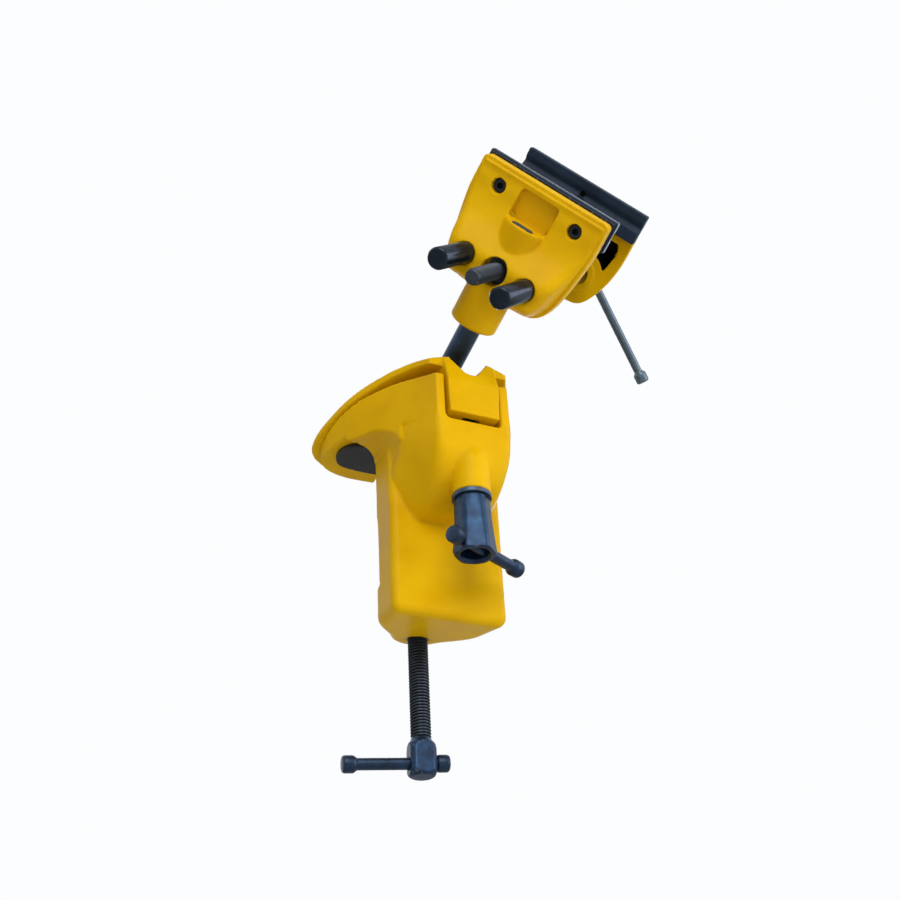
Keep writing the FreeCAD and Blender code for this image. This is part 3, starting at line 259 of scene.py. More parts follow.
def softened(name, bm, voxel, passes, thin=1.0):
    """Mesh of a closed bmesh with its edges eased, by an even remesh, smoothing and thinning."""
    mesh = bpy.data.meshes.new(name)
    bm.to_mesh(mesh)
    bm.free()
    obj = bpy.data.objects.new(name + "_work", mesh)
    bpy.context.scene.collection.objects.link(obj)
    grid = obj.modifiers.new("grid", "REMESH")
    grid.mode = "VOXEL"
    grid.voxel_size = voxel * MM
    grid.use_smooth_shade = True
    if passes:
        ease = obj.modifiers.new("ease", "SMOOTH")
        ease.factor = 0.5
        ease.iterations = passes
    if thin < 1.0:
        fewer = obj.modifiers.new("fewer", "DECIMATE")
        fewer.ratio = thin
    depsgraph = bpy.context.evaluated_depsgraph_get()
    out = bpy.data.meshes.new_from_object(obj.evaluated_get(depsgraph))
    bpy.data.objects.remove(obj)
    bpy.data.meshes.remove(mesh)
    out.name = name
    if len(out.polygons) == 0:
        raise RuntimeError(name + " came out empty")
    return out


# Materials

# Sockets of a colour Mix node, where several have the same name
MIX_SHARE, MIX_A, MIX_B, MIX_RESULT = 0, 6, 7, 2


def linear(code):
    """sRGB hex colour as linear RGBA."""
    out = []
    for i in (1, 3, 5):
        c = int(code[i:i + 2], 16) / 255.0
        out.append(c / 12.92 if c <= 0.04045 else ((c + 0.055) / 1.055) ** 2.4)
    return (*out, 1.0)


def grey(level):
    """Linear grey as RGBA, for a ramp that gives a share."""
    return (level, level, level, 1.0)


def add(tree, kind, links=None, settings=None, values=None, stops=(), **sockets):
    """Adds a node: its settings, its links, constants by socket number or name, and ramp stops."""
    node = tree.nodes.new(kind)
    for key, value in (settings or {}).items():
        setattr(node, key, value)
    for key, value in (values or {}).items():
        node.inputs[key].default_value = value
    for key, value in sockets.items():
        node.inputs[key.replace("_", " ")].default_value = value
    for key, value in (links or {}).items():
        tree.links.new(value, node.inputs[key])
    if stops:
        elements = node.color_ramp.elements
        while len(elements) < len(stops):
            elements.new(0.5)
        for element, (place, colour) in zip(elements, stops):
            element.position = place
            element.color = colour
    return node


def per_mm(size):
    """Noise scale whose features are about this many millimetres across."""
    return 1.0 / (size * MM)


def blank(name):
    """Empty material with its node tree and the piece's own coordinates."""
    material = bpy.data.materials.new(name)
    material.use_nodes = True
    tree = material.node_tree
    tree.nodes.clear()
    return material, tree, add(tree, "ShaderNodeTexCoord").outputs["Object"]


def cloudy(tree, place, size, stops, detail=3.0, rough=0.5):
    """Colour that drifts between the stops over about size millimetres."""
    cloud = add(tree, "ShaderNodeTexNoise", links={"Vector": place}, Scale=per_mm(size), Detail=detail,
                Roughness=rough)
    tone = add(tree, "ShaderNodeValToRGB", links={"Fac": cloud.outputs["Fac"]},
               stops=[(at, linear(code)) for at, code in stops])
    return tone.outputs["Color"]


def fine_grain(tree, place, size, gloss, strength, depth, detail=4.0, rough=0.6):
    """Roughness and normal of a grained skin; gloss holds its least and most roughness."""
    grain = add(tree, "ShaderNodeTexNoise", links={"Vector": place}, Scale=per_mm(size), Detail=detail,
                Roughness=rough)
    level = add(tree, "ShaderNodeMapRange", links={"Value": grain.outputs["Fac"]}, From_Min=0.3,
                From_Max=0.7, To_Min=gloss[0], To_Max=gloss[1])
    bump = add(tree, "ShaderNodeBump", links={"Height": grain.outputs["Fac"]}, Strength=strength,
               Distance=depth * MM)
    return {"Roughness": level.outputs["Result"], "Normal": bump.outputs["Normal"]}


def surface(tree, links, **sockets):
    """Closes a material with its shader and output."""
    shader = add(tree, "ShaderNodeBsdfPrincipled", links=links, **sockets)
    add(tree, "ShaderNodeOutputMaterial", links={"Surface": shader.outputs["BSDF"]})


def powder_coat(name, body, deep, pale):
    """Powder coat on die-cast aluminium: fused resin powder, satin, with a fine orange peel."""
    material, tree, place = blank(name)
    # Orange peel about 0.9 mm across
    peel = add(tree, "ShaderNodeTexNoise", links={"Vector": place}, Scale=per_mm(0.9), Detail=2.0,
               Roughness=0.45)
    # Slow drift of film thickness, about 25 mm across
    drift = add(tree, "ShaderNodeTexNoise", links={"Vector": place}, Scale=per_mm(25.0), Detail=3.0,
                Roughness=0.55)
    tone = add(tree, "ShaderNodeValToRGB", links={"Fac": drift.outputs["Fac"]},
               stops=[(0.32, linear(deep)), (0.5, linear(body)), (0.72, linear(pale))])
    # Painted shade: concave corners, found by pointiness, are multiplied browner
    form = add(tree, "ShaderNodeNewGeometry").outputs["Pointiness"]
    corner_shade = add(tree, "ShaderNodeValToRGB", links={"Fac": form},
                 stops=[(0.42, linear("#C79A50")), (0.49, linear("#FFFFFF"))])
    shade = add(tree, "ShaderNodeMix", settings={"data_type": "RGBA", "blend_type": "MULTIPLY"},
                links={MIX_A: tone.outputs["Color"], MIX_B: corner_shade.outputs["Color"]},
                values={MIX_SHARE: 0.7})
    # Painted highlight: convex edges, found by pointiness, are mixed towards the pale colour
    edge = add(tree, "ShaderNodeValToRGB", links={"Fac": form},
               stops=[(0.515, grey(0.0)), (0.57, grey(0.45))])
    wear_and_highlight = add(tree, "ShaderNodeMix", settings={"data_type": "RGBA"}, values={MIX_B: linear(pale)},
               links={MIX_SHARE: edge.outputs["Color"], MIX_A: shade.outputs[MIX_RESULT]})
    # Gloss changes a little with the film
    gloss = add(tree, "ShaderNodeMapRange", links={"Value": drift.outputs["Fac"]}, From_Min=0.3,
                From_Max=0.7, To_Min=0.36, To_Max=0.46)
    bump = add(tree, "ShaderNodeBump", links={"Height": peel.outputs["Fac"]}, Strength=0.14,
               Distance=0.05 * MM)
    surface(tree, {"Base Color": wear_and_highlight.outputs[MIX_RESULT], "Roughness": gloss.outputs["Result"],
                   "Normal": bump.outputs["Normal"]}, IOR=1.5, Specular_IOR_Level=0.08)
    return material


def black_oxide(name, dark, light, gloss, grain, metallic=0.75, shine=0.5, rub=0.35):
    """Black oxide on machined or forged steel: blue-black, oiled, paler where edges rub."""
    material, tree, place = blank(name)
    tone = cloudy(tree, place, 7.0, [(0.35, dark), (0.68, light)], rough=0.6)
    form = add(tree, "ShaderNodeNewGeometry").outputs["Pointiness"]
    edge = add(tree, "ShaderNodeValToRGB", links={"Fac": form}, stops=[(0.52, grey(0.0)), (0.60, grey(1.0))])
    part = add(tree, "ShaderNodeMath", settings={"operation": "MULTIPLY"},
               links={0: edge.outputs["Color"]}, values={1: rub})
    wear_and_highlight = add(tree, "ShaderNodeMix", settings={"data_type": "RGBA"}, values={MIX_B: linear("#6F7C8C")},
               links={MIX_SHARE: part.outputs[0], MIX_A: tone})
    skin = fine_grain(tree, place, grain, gloss, 0.08, 0.03)
    surface(tree, {"Base Color": wear_and_highlight.outputs[MIX_RESULT], **skin}, Metallic=metallic,
            Specular_IOR_Level=shine)
    return material


def rubber(name, dark, light, gloss, grain, shine=0.5):
    """Moulded rubber: matt to satin, with a fine spark-eroded grain."""
    material, tree, place = blank(name)
    tone = cloudy(tree, place, 12.0, [(0.35, dark), (0.7, light)])
    skin = fine_grain(tree, place, grain, gloss, 0.3, 0.04, detail=3.0)
    surface(tree, {"Base Color": tone, **skin}, IOR=1.52, Specular_IOR_Level=shine)
    return material


def zinc_plate(name):
    """Bright zinc plate on turned steel: pale grey, with fine tool marks and a faint blue cast."""
    material, tree, place = blank(name)
    tone = cloudy(tree, place, 6.0, [(0.35, "#A4A9AE"), (0.7, "#C3C6C8")], detail=2.0)
    skin = fine_grain(tree, place, 0.5, (0.26, 0.4), 0.15, 0.02, rough=0.65)
    surface(tree, {"Base Color": tone, **skin}, Metallic=1.0)
    return material


def moulded_nylon(name):
    """Moulded nylon: off-black, satin, with slight flow marks."""
    material, tree, place = blank(name)
    flow = add(tree, "ShaderNodeTexNoise", links={"Vector": place}, Scale=per_mm(4.0), Detail=3.0,
               Distortion=0.6)
    tone = add(tree, "ShaderNodeValToRGB", links={"Fac": flow.outputs["Fac"]},
               stops=[(0.35, linear("#1C1D1F")), (0.7, linear("#2A2B2D"))])
    bump = add(tree, "ShaderNodeBump", links={"Height": flow.outputs["Fac"]}, Strength=0.1,
               Distance=0.03 * MM)
    surface(tree, {"Base Color": tone.outputs["Color"], "Normal": bump.outputs["Normal"]},
            Roughness=0.45, IOR=1.53)
    return material


# Maker and values of each finish; the powder coat's colours come from the sidebar
FINISHES = {
    "yellow_coat": (powder_coat, {"name": "yellow_powder_coat"}),
    "dark_steel": (black_oxide, {"name": "black_oxide_steel", "dark": "#182840", "light": "#23405F",
                                 "gloss": (0.34, 0.42), "grain": 0.9}),
    "thread_steel": (black_oxide, {"name": "oiled_thread_steel", "dark": "#191F27", "light": "#262F3A",
                                   "gloss": (0.42, 0.55), "grain": 0.4}),
    "polished_rod": (black_oxide, {"name": "ground_black_rod", "dark": "#18202C", "light": "#212A38",
                                   "gloss": (0.17, 0.21), "grain": 2.0, "shine": 0.4, "rub": 0.1}),
    # Near black and almost without specular: partly the screws' black finish, partly painted shade of the
    # deep pad screw holes
    "black_screw": (black_oxide, {"name": "black_screw_and_painted_shade", "dark": "#06070A", "light": "#0D0F13",
                                  "gloss": (0.6, 0.7), "grain": 0.6, "metallic": 0.0, "shine": 0.08}),
    "pad_steel": (black_oxide, {"name": "blackened_sheet", "dark": "#0E131A", "light": "#181F29",
                                "gloss": (0.5, 0.6), "grain": 0.8, "metallic": 0.2, "shine": 0.25}),
    # Painted highlight: the jaw bar gets a pale grey-blue base, a lit copy of the dark bar steel
    "bar_steel": (black_oxide, {"name": "bar_steel_painted_highlight", "dark": "#4A5A68", "light": "#5E6E7C",
                                "gloss": (0.36, 0.42), "grain": 2.0, "rub": 0.0}),
    "bar_dark": (black_oxide, {"name": "black_oxide_bar", "dark": "#1C2B3E", "light": "#263A54",
                               "gloss": (0.34, 0.40), "grain": 2.0, "rub": 0.0}),
    # Painted shade: near-black for the inside of the far jaw's hollow
    "hollow_painted_shade": (black_oxide, {"name": "hollow_in_shade", "dark": "#0B0A09", "light": "#121110",
                                  "gloss": (0.7, 0.8), "grain": 0.8, "metallic": 0.0, "shine": 0.05}),
    "pad_rubber": (rubber, {"name": "jaw_pad_rubber", "dark": "#172639", "light": "#213349",
                            "gloss": (0.50, 0.62), "grain": 0.5, "shine": 0.2}),
    # Painted reflection: pale grey for the near pad's ends and top, which catch the bright sky at a grazing
    # angle
    "pad_reflection_grey": (rubber, {"name": "pad_painted_reflection", "dark": "#93A0B0", "light": "#AEB9C6",
                          "gloss": (0.45, 0.57), "grain": 0.4, "shine": 0.3}),
    "black_rubber": (rubber, {"name": "seat_pad_rubber", "dark": "#121315", "light": "#1B1D20",
                              "gloss": (0.55, 0.67), "grain": 0.7}),
    "zinc_steel": (zinc_plate, {"name": "zinc_plated_steel"}),
    "seat_polymer": (moulded_nylon, {"name": "moulded_nylon"}),
}
MADE = {}


def finish_for(key):
    """Material of a record slot, or of a finish that has no slot of its own, made once."""
    if key not in MADE:
        maker, values = FINISHES[key]
        if maker is powder_coat:
            coat = bpy.context.scene.vise_coat
            values = {**values, "body": coat.body, "deep": coat.deep, "pale": coat.pale}
        MADE[key] = maker(**values)
    return MADE[key]


# Settings


class ViseCoatSettings(bpy.types.PropertyGroup):
    """Colours of the powder coat and the easing of the castings"""

    body: StringProperty(name="Body colour", description="Powder coat colour, sRGB hex", default="#DFB000")
    deep: StringProperty(name="Deep colour", description="Coat where the film is thick", default="#D9A800")
    # The pale colour also paints the highlight on convex edges
    pale: StringProperty(name="Pale colour", description="Coat where the film is thin", default="#E5B806")
    grid: FloatProperty(name="Casting grid", description="Grid of the eased frame, in mm",
                        default=0.75, min=0.4, max=3.0)
    jaw_grid: FloatProperty(name="Jaw grid", description="Grid of the eased lid and jaws, in mm",
                            default=0.55, min=0.4, max=3.0)
    passes: IntProperty(name="Easing", description="Smoothing passes over the cast edges",
                        default=2, min=0, max=30)
    thin: FloatProperty(name="Thinning", description="Share of the triangles that is kept",
                        default=0.5, min=0.1, max=1.0, subtype="FACTOR")


class ViseThreadSettings(bpy.types.PropertyGroup):
    """Sizes of the cut threads"""

    clamp_pitch: FloatProperty(name="Clamp thread pitch", description="Pitch of the clamp screw, in mm",
                               default=1.5, min=0.5, max=4.0)
    jaw_pitch: FloatProperty(name="Jaw thread pitch", description="Pitch of the jaw screw, in mm",
                             default=2.0, min=0.5, max=4.0)
    depth: FloatProperty(name="Thread depth", description="Depth of the clamp screw's thread, in mm",
                         default=0.75, min=0.2, max=2.0)


class ViseStageSettings(bpy.types.PropertyGroup):
    """Camera lens and floor height"""

    lens: FloatProperty(name="Lens", description="Focal length on a 36 mm sensor", default=50.6,
                        min=10.0, max=200.0, subtype="DISTANCE_CAMERA")
    floor: FloatProperty(name="Floor height", description="Height of the floor", default=-0.42,
                         unit="LENGTH")


# Operators


def rounded_slot(bm):
    """Fills the corners of the nut slot in the near jaw's ledge, so that its ends are round."""
    half_l, half_w, spare = 5.95, 2.35, 0.4
    low, high = 98.6, 101.3
    centre = half_l - half_w
    outline = [(centre, half_w + spare), (half_l + spare, half_w + spare),
               (half_l + spare, -half_w - spare), (centre, -half_w - spare)]
    outline += half_round(centre, half_w)
    parts = [(bm, UNMOVED)]
    for side in (0.0, 180.0):
        place = HEAD @ Matrix.Translation((0, NUT_Y, 0)) @ turn(side, "Z")
        parts.append((prism(outline, low, high), Matrix.Scale(MM, 4) @ place))
    return joined(parts)


def faces_in_head(mesh):
    """Each face of a mesh with its centre, in mm, and its normal in the head's axes."""
    upright = HEAD.inverted()
    rotation = upright.to_3x3()
    for polygon in mesh.polygons:
        yield polygon, upright @ (polygon.center / MM), rotation @ polygon.normal


def dark_hollow(mesh):
    """Paints shade into the hollow in the back of the far jaw: its inner faces get a near-black material."""
    low_z, high_z, half_w, side_x = 80.5, 103.0, 31.4, 29.0
    front = FAR_JAW_FACE + 0.7
    mesh.materials.append(finish_for("hollow_painted_shade"))
    for polygon, at, normal in faces_in_head(mesh):
        if not (low_z < at.z < high_z and abs(at.x) < half_w and at.y > front):
            continue
        for (high, a), (low, b) in zip(FAR_JAW_BACK, FAR_JAW_BACK[1:]):
            if low <= at.z <= high:
                rear = FAR_JAW_FACE + b + (a - b) * (at.z - low) / (high - low)
        outer_side = normal.x * at.x > 0 and abs(at.x) > side_x
        if at.y < rear - FAR_JAW_WALL / 2 and not outer_side:
            polygon.material_index = 1


class VISE_OT_castings(bpy.types.Operator):
    """Ease the edges of the four castings and coat them"""

    bl_idname = "vise.castings"
    bl_label = "Castings"

    def execute(self, context):
        coat = context.scene.vise_coat
        yellow = finish_for("yellow_coat")
        for node, body, name, grid in (("frame_casting", "frame", "coated_frame", coat.grid),
                                       ("lid_casting", "lid", "coated_lid", coat.jaw_grid),
                                       ("fixed_jaw", "head", "coated_fixed_jaw", coat.jaw_grid),
                                       ("moving_jaw", "moving_jaw", "coated_moving_jaw", coat.jaw_grid)):
            bm = cad_copy(node)
            if node == "fixed_jaw":
                bm = rounded_slot(bm)
            mesh = softened(name, bm, grid, coat.passes, coat.thin)
            dress(name, mesh, body, yellow, (node,))
            # The far jaw's hollow gets painted shade
            if node == "moving_jaw":
                dark_hollow(mesh)
        return {"FINISHED"}


def paint_pad_reflection(mesh):
    """Paints a pale grey reflection onto the ends and the top of the near pad's facing layer."""
    end_y, top_y, facing = 15.1, 16.7, 0.7
    mesh.materials.append(finish_for("pad_reflection_grey"))
    for polygon, at, normal in faces_in_head(mesh):
        on_end = abs(normal.x) > facing and at.y > end_y
        on_top = normal.z > facing and at.y > top_y
        if on_end or on_top:
            polygon.material_index = 1


class VISE_OT_jaw_pads(bpy.types.Operator):
    """Make the soft jaw pads and the sheet steel plates behind them"""

    bl_idname = "vise.jaw_pads"
    bl_label = "Jaw Pads"

    def execute(self, context):
        for node, body, name, slot, grid, passes in (
                ("fixed_pad", "head", "near_jaw_pad", "pad_rubber", 0.45, 2),
                ("moving_pad", "moving_jaw", "far_jaw_pad", "pad_rubber", 0.45, 2),
                ("fixed_plate", "head", "near_pad_plate", "pad_steel", 0.4, 1),
                ("moving_plate", "moving_jaw", "far_pad_plate", "pad_steel", 0.4, 1)):
            mesh = softened(name, cad_copy(node), grid, passes)
            dress(name, mesh, body, finish_for(slot), (node,))
            # The near pad gets its painted reflection
            if node == "fixed_pad":
                paint_pad_reflection(mesh)
        return {"FINISHED"}


class VISE_OT_seat_pad(bpy.types.Operator):
    """Make the rubber sheet under the upper arm"""

    bl_idname = "vise.seat_pad"
    bl_label = "Seat Pad"

    def execute(self, context):
        mesh = softened("rubber_seat_sheet", cad_copy("seat_pad"), 0.5, 2)
        dress("rubber_seat_sheet", mesh, "frame", finish_for("black_rubber"), ("seat_pad",))
        return {"FINISHED"}


def bar_with_knobs(bar):
    """Cold headed bar along Z, the middle of its near knob at the origin."""
    r, k, h = bar.width / 2.0, bar.knob_d / 2.0, bar.knob_l / 2.0
    far = bar.span
    points = [(0, -h), (k - 1.3, -h), (k - 0.5, -h + 0.3), (k - 0.1, -h + 0.9), (k, -h + 1.6), (k, h - 1.5),
              (k - 0.3, h - 0.8), (k - 0.9, h - 0.2), (r + 0.4, h), (r, h + 0.5),
              (r, far - h - 0.5), (r + 0.4, far - h), (k - 0.9, far - h + 0.2),
              (k - 0.3, far - h + 0.8), (k, far - h + 1.5), (k, far + h - 1.6),
              (k - 0.1, far + h - 0.9), (k - 0.5, far + h - 0.3), (k - 1.3, far + h), (0, far + h)]
    return lathe(points, 48)


def cross_bar(name, bar, body, finish, through, out, back, replaced, base=UNMOVED):
    """Piece of a bar that slides through a head; back is how far its near knob stands behind it."""
    matrix = base @ aimed(Vector(through) - out * back, out)
    piece(name, joined([(bar_with_knobs(bar), matrix)]), body, finish, replaced)


class VISE_OT_bars(bpy.types.Operator):
    """Make the three sliding cross bars with their headed ends"""

    bl_idname = "vise.bars"
    bl_label = "Cross Bars"

    def execute(self, context):
        a = math.radians(LOCK_BAR_TURN)
        cross_bar("lock_cross_bar", SHORT_BAR, "lock_bar", finish_for("bar_dark"), (0, STUD_Y, LOCK_BAR_Z),
                  Vector((math.cos(a), math.sin(a), 0.0)),
                  NUT_FLATS_LOW / 2 + SHORT_BAR.knob_l / 2 + LOCK_KNOB_GAP, ("lock_bar", "lock_bar_knobs"))
        a, t = math.radians(CLAMP_BAR_TURN), math.radians(CLAMP_BAR_DROOP)
        cross_bar("clamp_cross_bar", SHORT_BAR, "clamp_bar", finish_for("bar_dark"),
                  (0, CLAMP_Y, CLAMP_BAR_Z),
                  Vector((math.cos(a) * math.cos(t), math.sin(a) * math.cos(t), -math.sin(t))),
                  CLAMP_HEAD_W / 2 + SHORT_BAR.knob_l / 2 + KNOB_GAP, ("clamp_bar", "clamp_bar_knobs"))
        # The jaw bar's finish carries a painted highlight
        a = math.radians(JAW_BAR_TURN)
        cross_bar("jaw_cross_bar", JAW_BAR, "jaw_bar", finish_for("bar_steel"), (0, JAW_BAR_Y, SCREW_Z),
                  Vector((math.cos(a), 0.0, math.sin(a))), JAW_HEAD_R + JAW_BAR.knob_l / 2 + KNOB_GAP,
                  ("jaw_bar", "jaw_bar_knobs"), HEAD)
        return {"FINISHED"}


class VISE_OT_lock(bpy.types.Operator):
    """Make the forged lock nut and its washer"""

    bl_idname = "vise.lock"
    bl_label = "Lock Nut"

    def execute(self, context):
        steel = finish_for("dark_steel")
        # The stud's thread ends at thread_low, and a wider bore goes on below it
        stud_r, bore_r, thread_low = 4.05, 6.25, -64.2
        profile = [(stud_r, NUT_TOP), (7.8, NUT_TOP), (8.5, -53.0), (8.6, -63.0), (9.3, -72.0),
                   (10.18, -79.4), (9.5, -80.6), (8.6, NUT_LOW), (7.25, NUT_LOW), (bore_r, -79.9),
                   (bore_r, thread_low), (stud_r, thread_low), (stud_r, NUT_TOP)]
        nut = pressed_hexagon(lathe(profile, 96), (NUT_LOW, NUT_FLATS_LOW), (NUT_TOP, NUT_FLATS_TOP), 30.0)
        upright = Matrix.Translation((0, STUD_Y, 0))
        piece("forged_lock_nut", joined([(nut, upright @ turn(NUT_TURN, "Z"))]), "lock_nut",
              steel, ("lock_nut",), bevel=0.25, sharp=30.0)
        hole_r, washer_r, washer_top = 4.3, 9.3, -50.0
        washer = lathe([(hole_r, NUT_TOP), (9.1, NUT_TOP), (washer_r, -52.0), (washer_r, -50.3),
                        (9.0, washer_top), (hole_r, washer_top), (hole_r, NUT_TOP)])
        piece("lock_nut_washer", joined([(washer, upright)]), "lock_nut", steel,
              ("lock_washer",))
        return {"FINISHED"}


class VISE_OT_clamp_screw(bpy.types.Operator):
    """Make the clamp screw: forged head, cut thread and swivel tip"""

    bl_idname = "vise.clamp_screw"
    bl_label = "Clamp Screw"

    def execute(self, context):
        thread = context.scene.vise_thread
        steel = finish_for("dark_steel")
        for name, height, clear in (("clamp_screw_head", -142.4, "clear_outer"),
                                    ("clamp_screw_tip", -59.0, "clear_inner")):
            end = cut_off(cad_copy("clamp_screw"), (0, 0, height * MM), (0, 0, 1), **{clear: True})
            dress(name, softened(name, end, 0.4, 2), "clamp_screw", steel, ("clamp_screw",))
        crest = 4.9
        core = crest - thread.depth
        core_low, core_top, ridge_low, ridge_top = -143.4, -58.6, -143.0, -58.8
        upright = Matrix.Translation((0, CLAMP_Y, 0))
        shank = lathe([(0, core_low), (core, core_low), (core, core_top), (0, core_top)], 48)
        ridge = screw_thread(core, crest, thread.clamp_pitch, ridge_low, ridge_top)
        piece("clamp_screw_thread", joined([(shank, upright), (ridge, upright)]), "clamp_screw",
              finish_for("thread_steel"), ("clamp_screw",))
        return {"FINISHED"}


class VISE_OT_jaw_screw(bpy.types.Operator):
    """Make the jaw screw, its head and the two guide rods"""

    bl_idname = "vise.jaw_screw"
    bl_label = "Jaw Screw And Guide Rods"

    def execute(self, context):
        thread = context.scene.vise_thread
        crest = 4.3
        core = crest - thread.depth * 0.8
        ridge_low, ridge_top, head_low = -38.2, 75.4, 75.5
        along = HEAD @ aimed((0, 0, SCREW_Z), (0, 1, 0))
        shank = lathe([(0, SCREW_END), (core - 0.5, SCREW_END), (core, SCREW_END + 0.6), (core, SCREW_CUT),
                       (0, SCREW_CUT)], 48)
        ridge = screw_thread(core, crest, thread.jaw_pitch, ridge_low, ridge_top)
        piece("jaw_screw_thread", joined([(shank, along), (ridge, along)]), "jaw_screw",
              finish_for("thread_steel"), ("jaw_screw",))
        start = (HEAD @ Vector((0, head_low, SCREW_Z))) * MM
        axis = HEAD.to_3x3() @ Vector((0, 1, 0))
        head = cut_off(cad_copy("jaw_screw"), start, axis, clear_inner=True)
        dress("jaw_screw_head", softened("jaw_screw_head", head, 0.4, 2), "jaw_screw",
              finish_for("dark_steel"), ("jaw_screw",))
        for name, x in (("near_guide_rod", -GUIDE_X), ("far_guide_rod", GUIDE_X)):
            shape = lathe([(0, GUIDE_END), (4.1, GUIDE_END), (4.6, -43.9), (5.1, -43.4), (GUIDE_R, -42.8),
                           (GUIDE_R, GUIDE_TOP), (0, GUIDE_TOP)], 72)
            matrix = HEAD @ aimed((x, 0, SCREW_Z), (0, 1, 0))
            piece(name, joined([(shape, matrix)]), "moving_jaw", finish_for("polished_rod"),
                  ("guide_rods",))
        return {"FINISHED"}


class VISE_OT_ball(bpy.types.Operator):
    """Make the ball with its rod"""

    bl_idname = "vise.ball"
    bl_label = "Ball Rod"

    def execute(self, context):
        ball_r, rod_r, neck_r, groove_r, steps = 15.0, 5.8, 6.6, 4.7, 32
        low = -ball_r + 0.7
        first = math.asin(low / ball_r)
        last = math.acos(neck_r / ball_r)
        points = [(0, low)]
        for i in range(steps + 1):
            a = first + (last - first) * i / steps
            points.append((ball_r * math.cos(a), ball_r * math.sin(a)))
        points += [(5.9, 15.9), (rod_r, 17.0), (rod_r, 52.2), (5.4, 52.4), (groove_r, 52.5), (groove_r, 55.5),
                   (5.4, 55.6), (rod_r, 55.8), (rod_r, 62.8), (4.6, 64.0), (0, 64.0)]
        piece("ball_ended_rod", joined([(lathe(points, 72), HEAD)]), "ball_rod",
              finish_for("dark_steel"), ("ball_rod",))
        return {"FINISHED"}


class VISE_OT_jaw_fasteners(bpy.types.Operator):
    """Make the socket screws of the jaw pads and the captive nut of the jaw screw"""

    bl_idname = "vise.jaw_fasteners"
    bl_label = "Jaw Fasteners"

    def execute(self, context):
        # The pad screws' near-black finish also carries the painted shade of their deep holes
        black = finish_for("black_screw")
        head_r, shank_r, shank_l, socket_r, socket_d = 3.6, 2.0, 5.4, 1.35, 1.1
        for node, body, name, seat, side in (
                ("fixed_pad_screws", "head", "near_pad_screws", 8.35, 1),
                ("moving_pad_screws", "moving_jaw", "far_pad_screws", 80.95, -1)):
            parts = []
            for x in (-PAD_SCREW_X, PAD_SCREW_X):
                screw = lathe([(0, -socket_d), (socket_r, -socket_d), (1.5, -2.2), (2.7, -2.4), (3.3, -2.1),
                               (head_r, -1.4), (head_r, 0), (shank_r, 0), (shank_r, shank_l),
                               (0, shank_l)], 40)
                parts.append((screw, HEAD @ aimed((x, seat, PAD_SCREW_Z), (0, side, 0))))
            piece(name, joined(parts), body, black, (node,))
        # The nut fills the slot, and its black cap between the rounded ends is painted shade: a dark plate
        # flush with the slot's mouth that stands in for the shade down in the slot
        half_w, shade_cap_low, shade_cap_top = 5.8, 100.0, 101.5
        nut = block(-half_w, half_w, -3.9, 0.5, 69.9, 100.4)
        shade_cap = prism(rounded_ends(half_w, 2.6), shade_cap_low, shade_cap_top)
        parts = [(nut, HEAD), (shade_cap, HEAD @ Matrix.Translation((0, NUT_Y, 0)))]
        piece("captive_square_nut", joined(parts), "head", black, ("captive_nut",))
        return {"FINISHED"}


class VISE_OT_carried(bpy.types.Operator):
    """Give the small parts that come straight from the solids their finishes"""

    bl_idname = "vise.carried"
    bl_label = "Small Parts"

    def execute(self, context):
        slots = {s["node"]: s["material_slot"] for s in frame["record"]["subparts"]}
        for node, obj in frame["nodes"].items():
            if obj.hide_render:
                continue
            obj.data.materials.clear()
            obj.data.materials.append(finish_for(slots[node]))
        return {"FINISHED"}


# Soft lamps as (name, place in metres, size, power in watts, colour)
LAMPS = (("key", (-0.45, -1.35, 0.6), 1.0, 14.2, "#FFFAF2"),
         ("side", (1.1, -0.9, 0.15), 1.1, 11.0, "#FBFAFF"),
         ("low", (-0.9, -0.7, -0.33), 0.9, 0.9, "#FFE2B4"),
         ("back", (0.5, 1.2, 0.9), 0.9, 8.0, "#EEF4FF"))
LAMP_AIM = Vector((0.0, -0.03, 0.0))
FLOOR_HALF = 6.0
CAMERA_PLACE = Vector((-0.2246, -0.4990, -0.3491))
CAMERA_RIGHT = Vector((0.9145, -0.4038, -0.0459))
CAMERA_DOWN = Vector((0.1846, 0.5129, -0.8382))
CAMERA_AHEAD = Vector((0.362, 0.758, 0.543))


def area_light(name, place, size, power, colour):
    """Square soft lamp that faces the vise."""
    lamp = bpy.data.lights.new(name, "AREA")
    lamp.shape = "SQUARE"
    lamp.size = size
    lamp.energy = power
    lamp.color = linear(colour)[:3]
    obj = bpy.data.objects.new(name, lamp)
    bpy.context.scene.collection.objects.link(obj)
    obj.location = place
    obj.rotation_euler = (LAMP_AIM - Vector(place)).to_track_quat("-Z", "Y").to_euler()


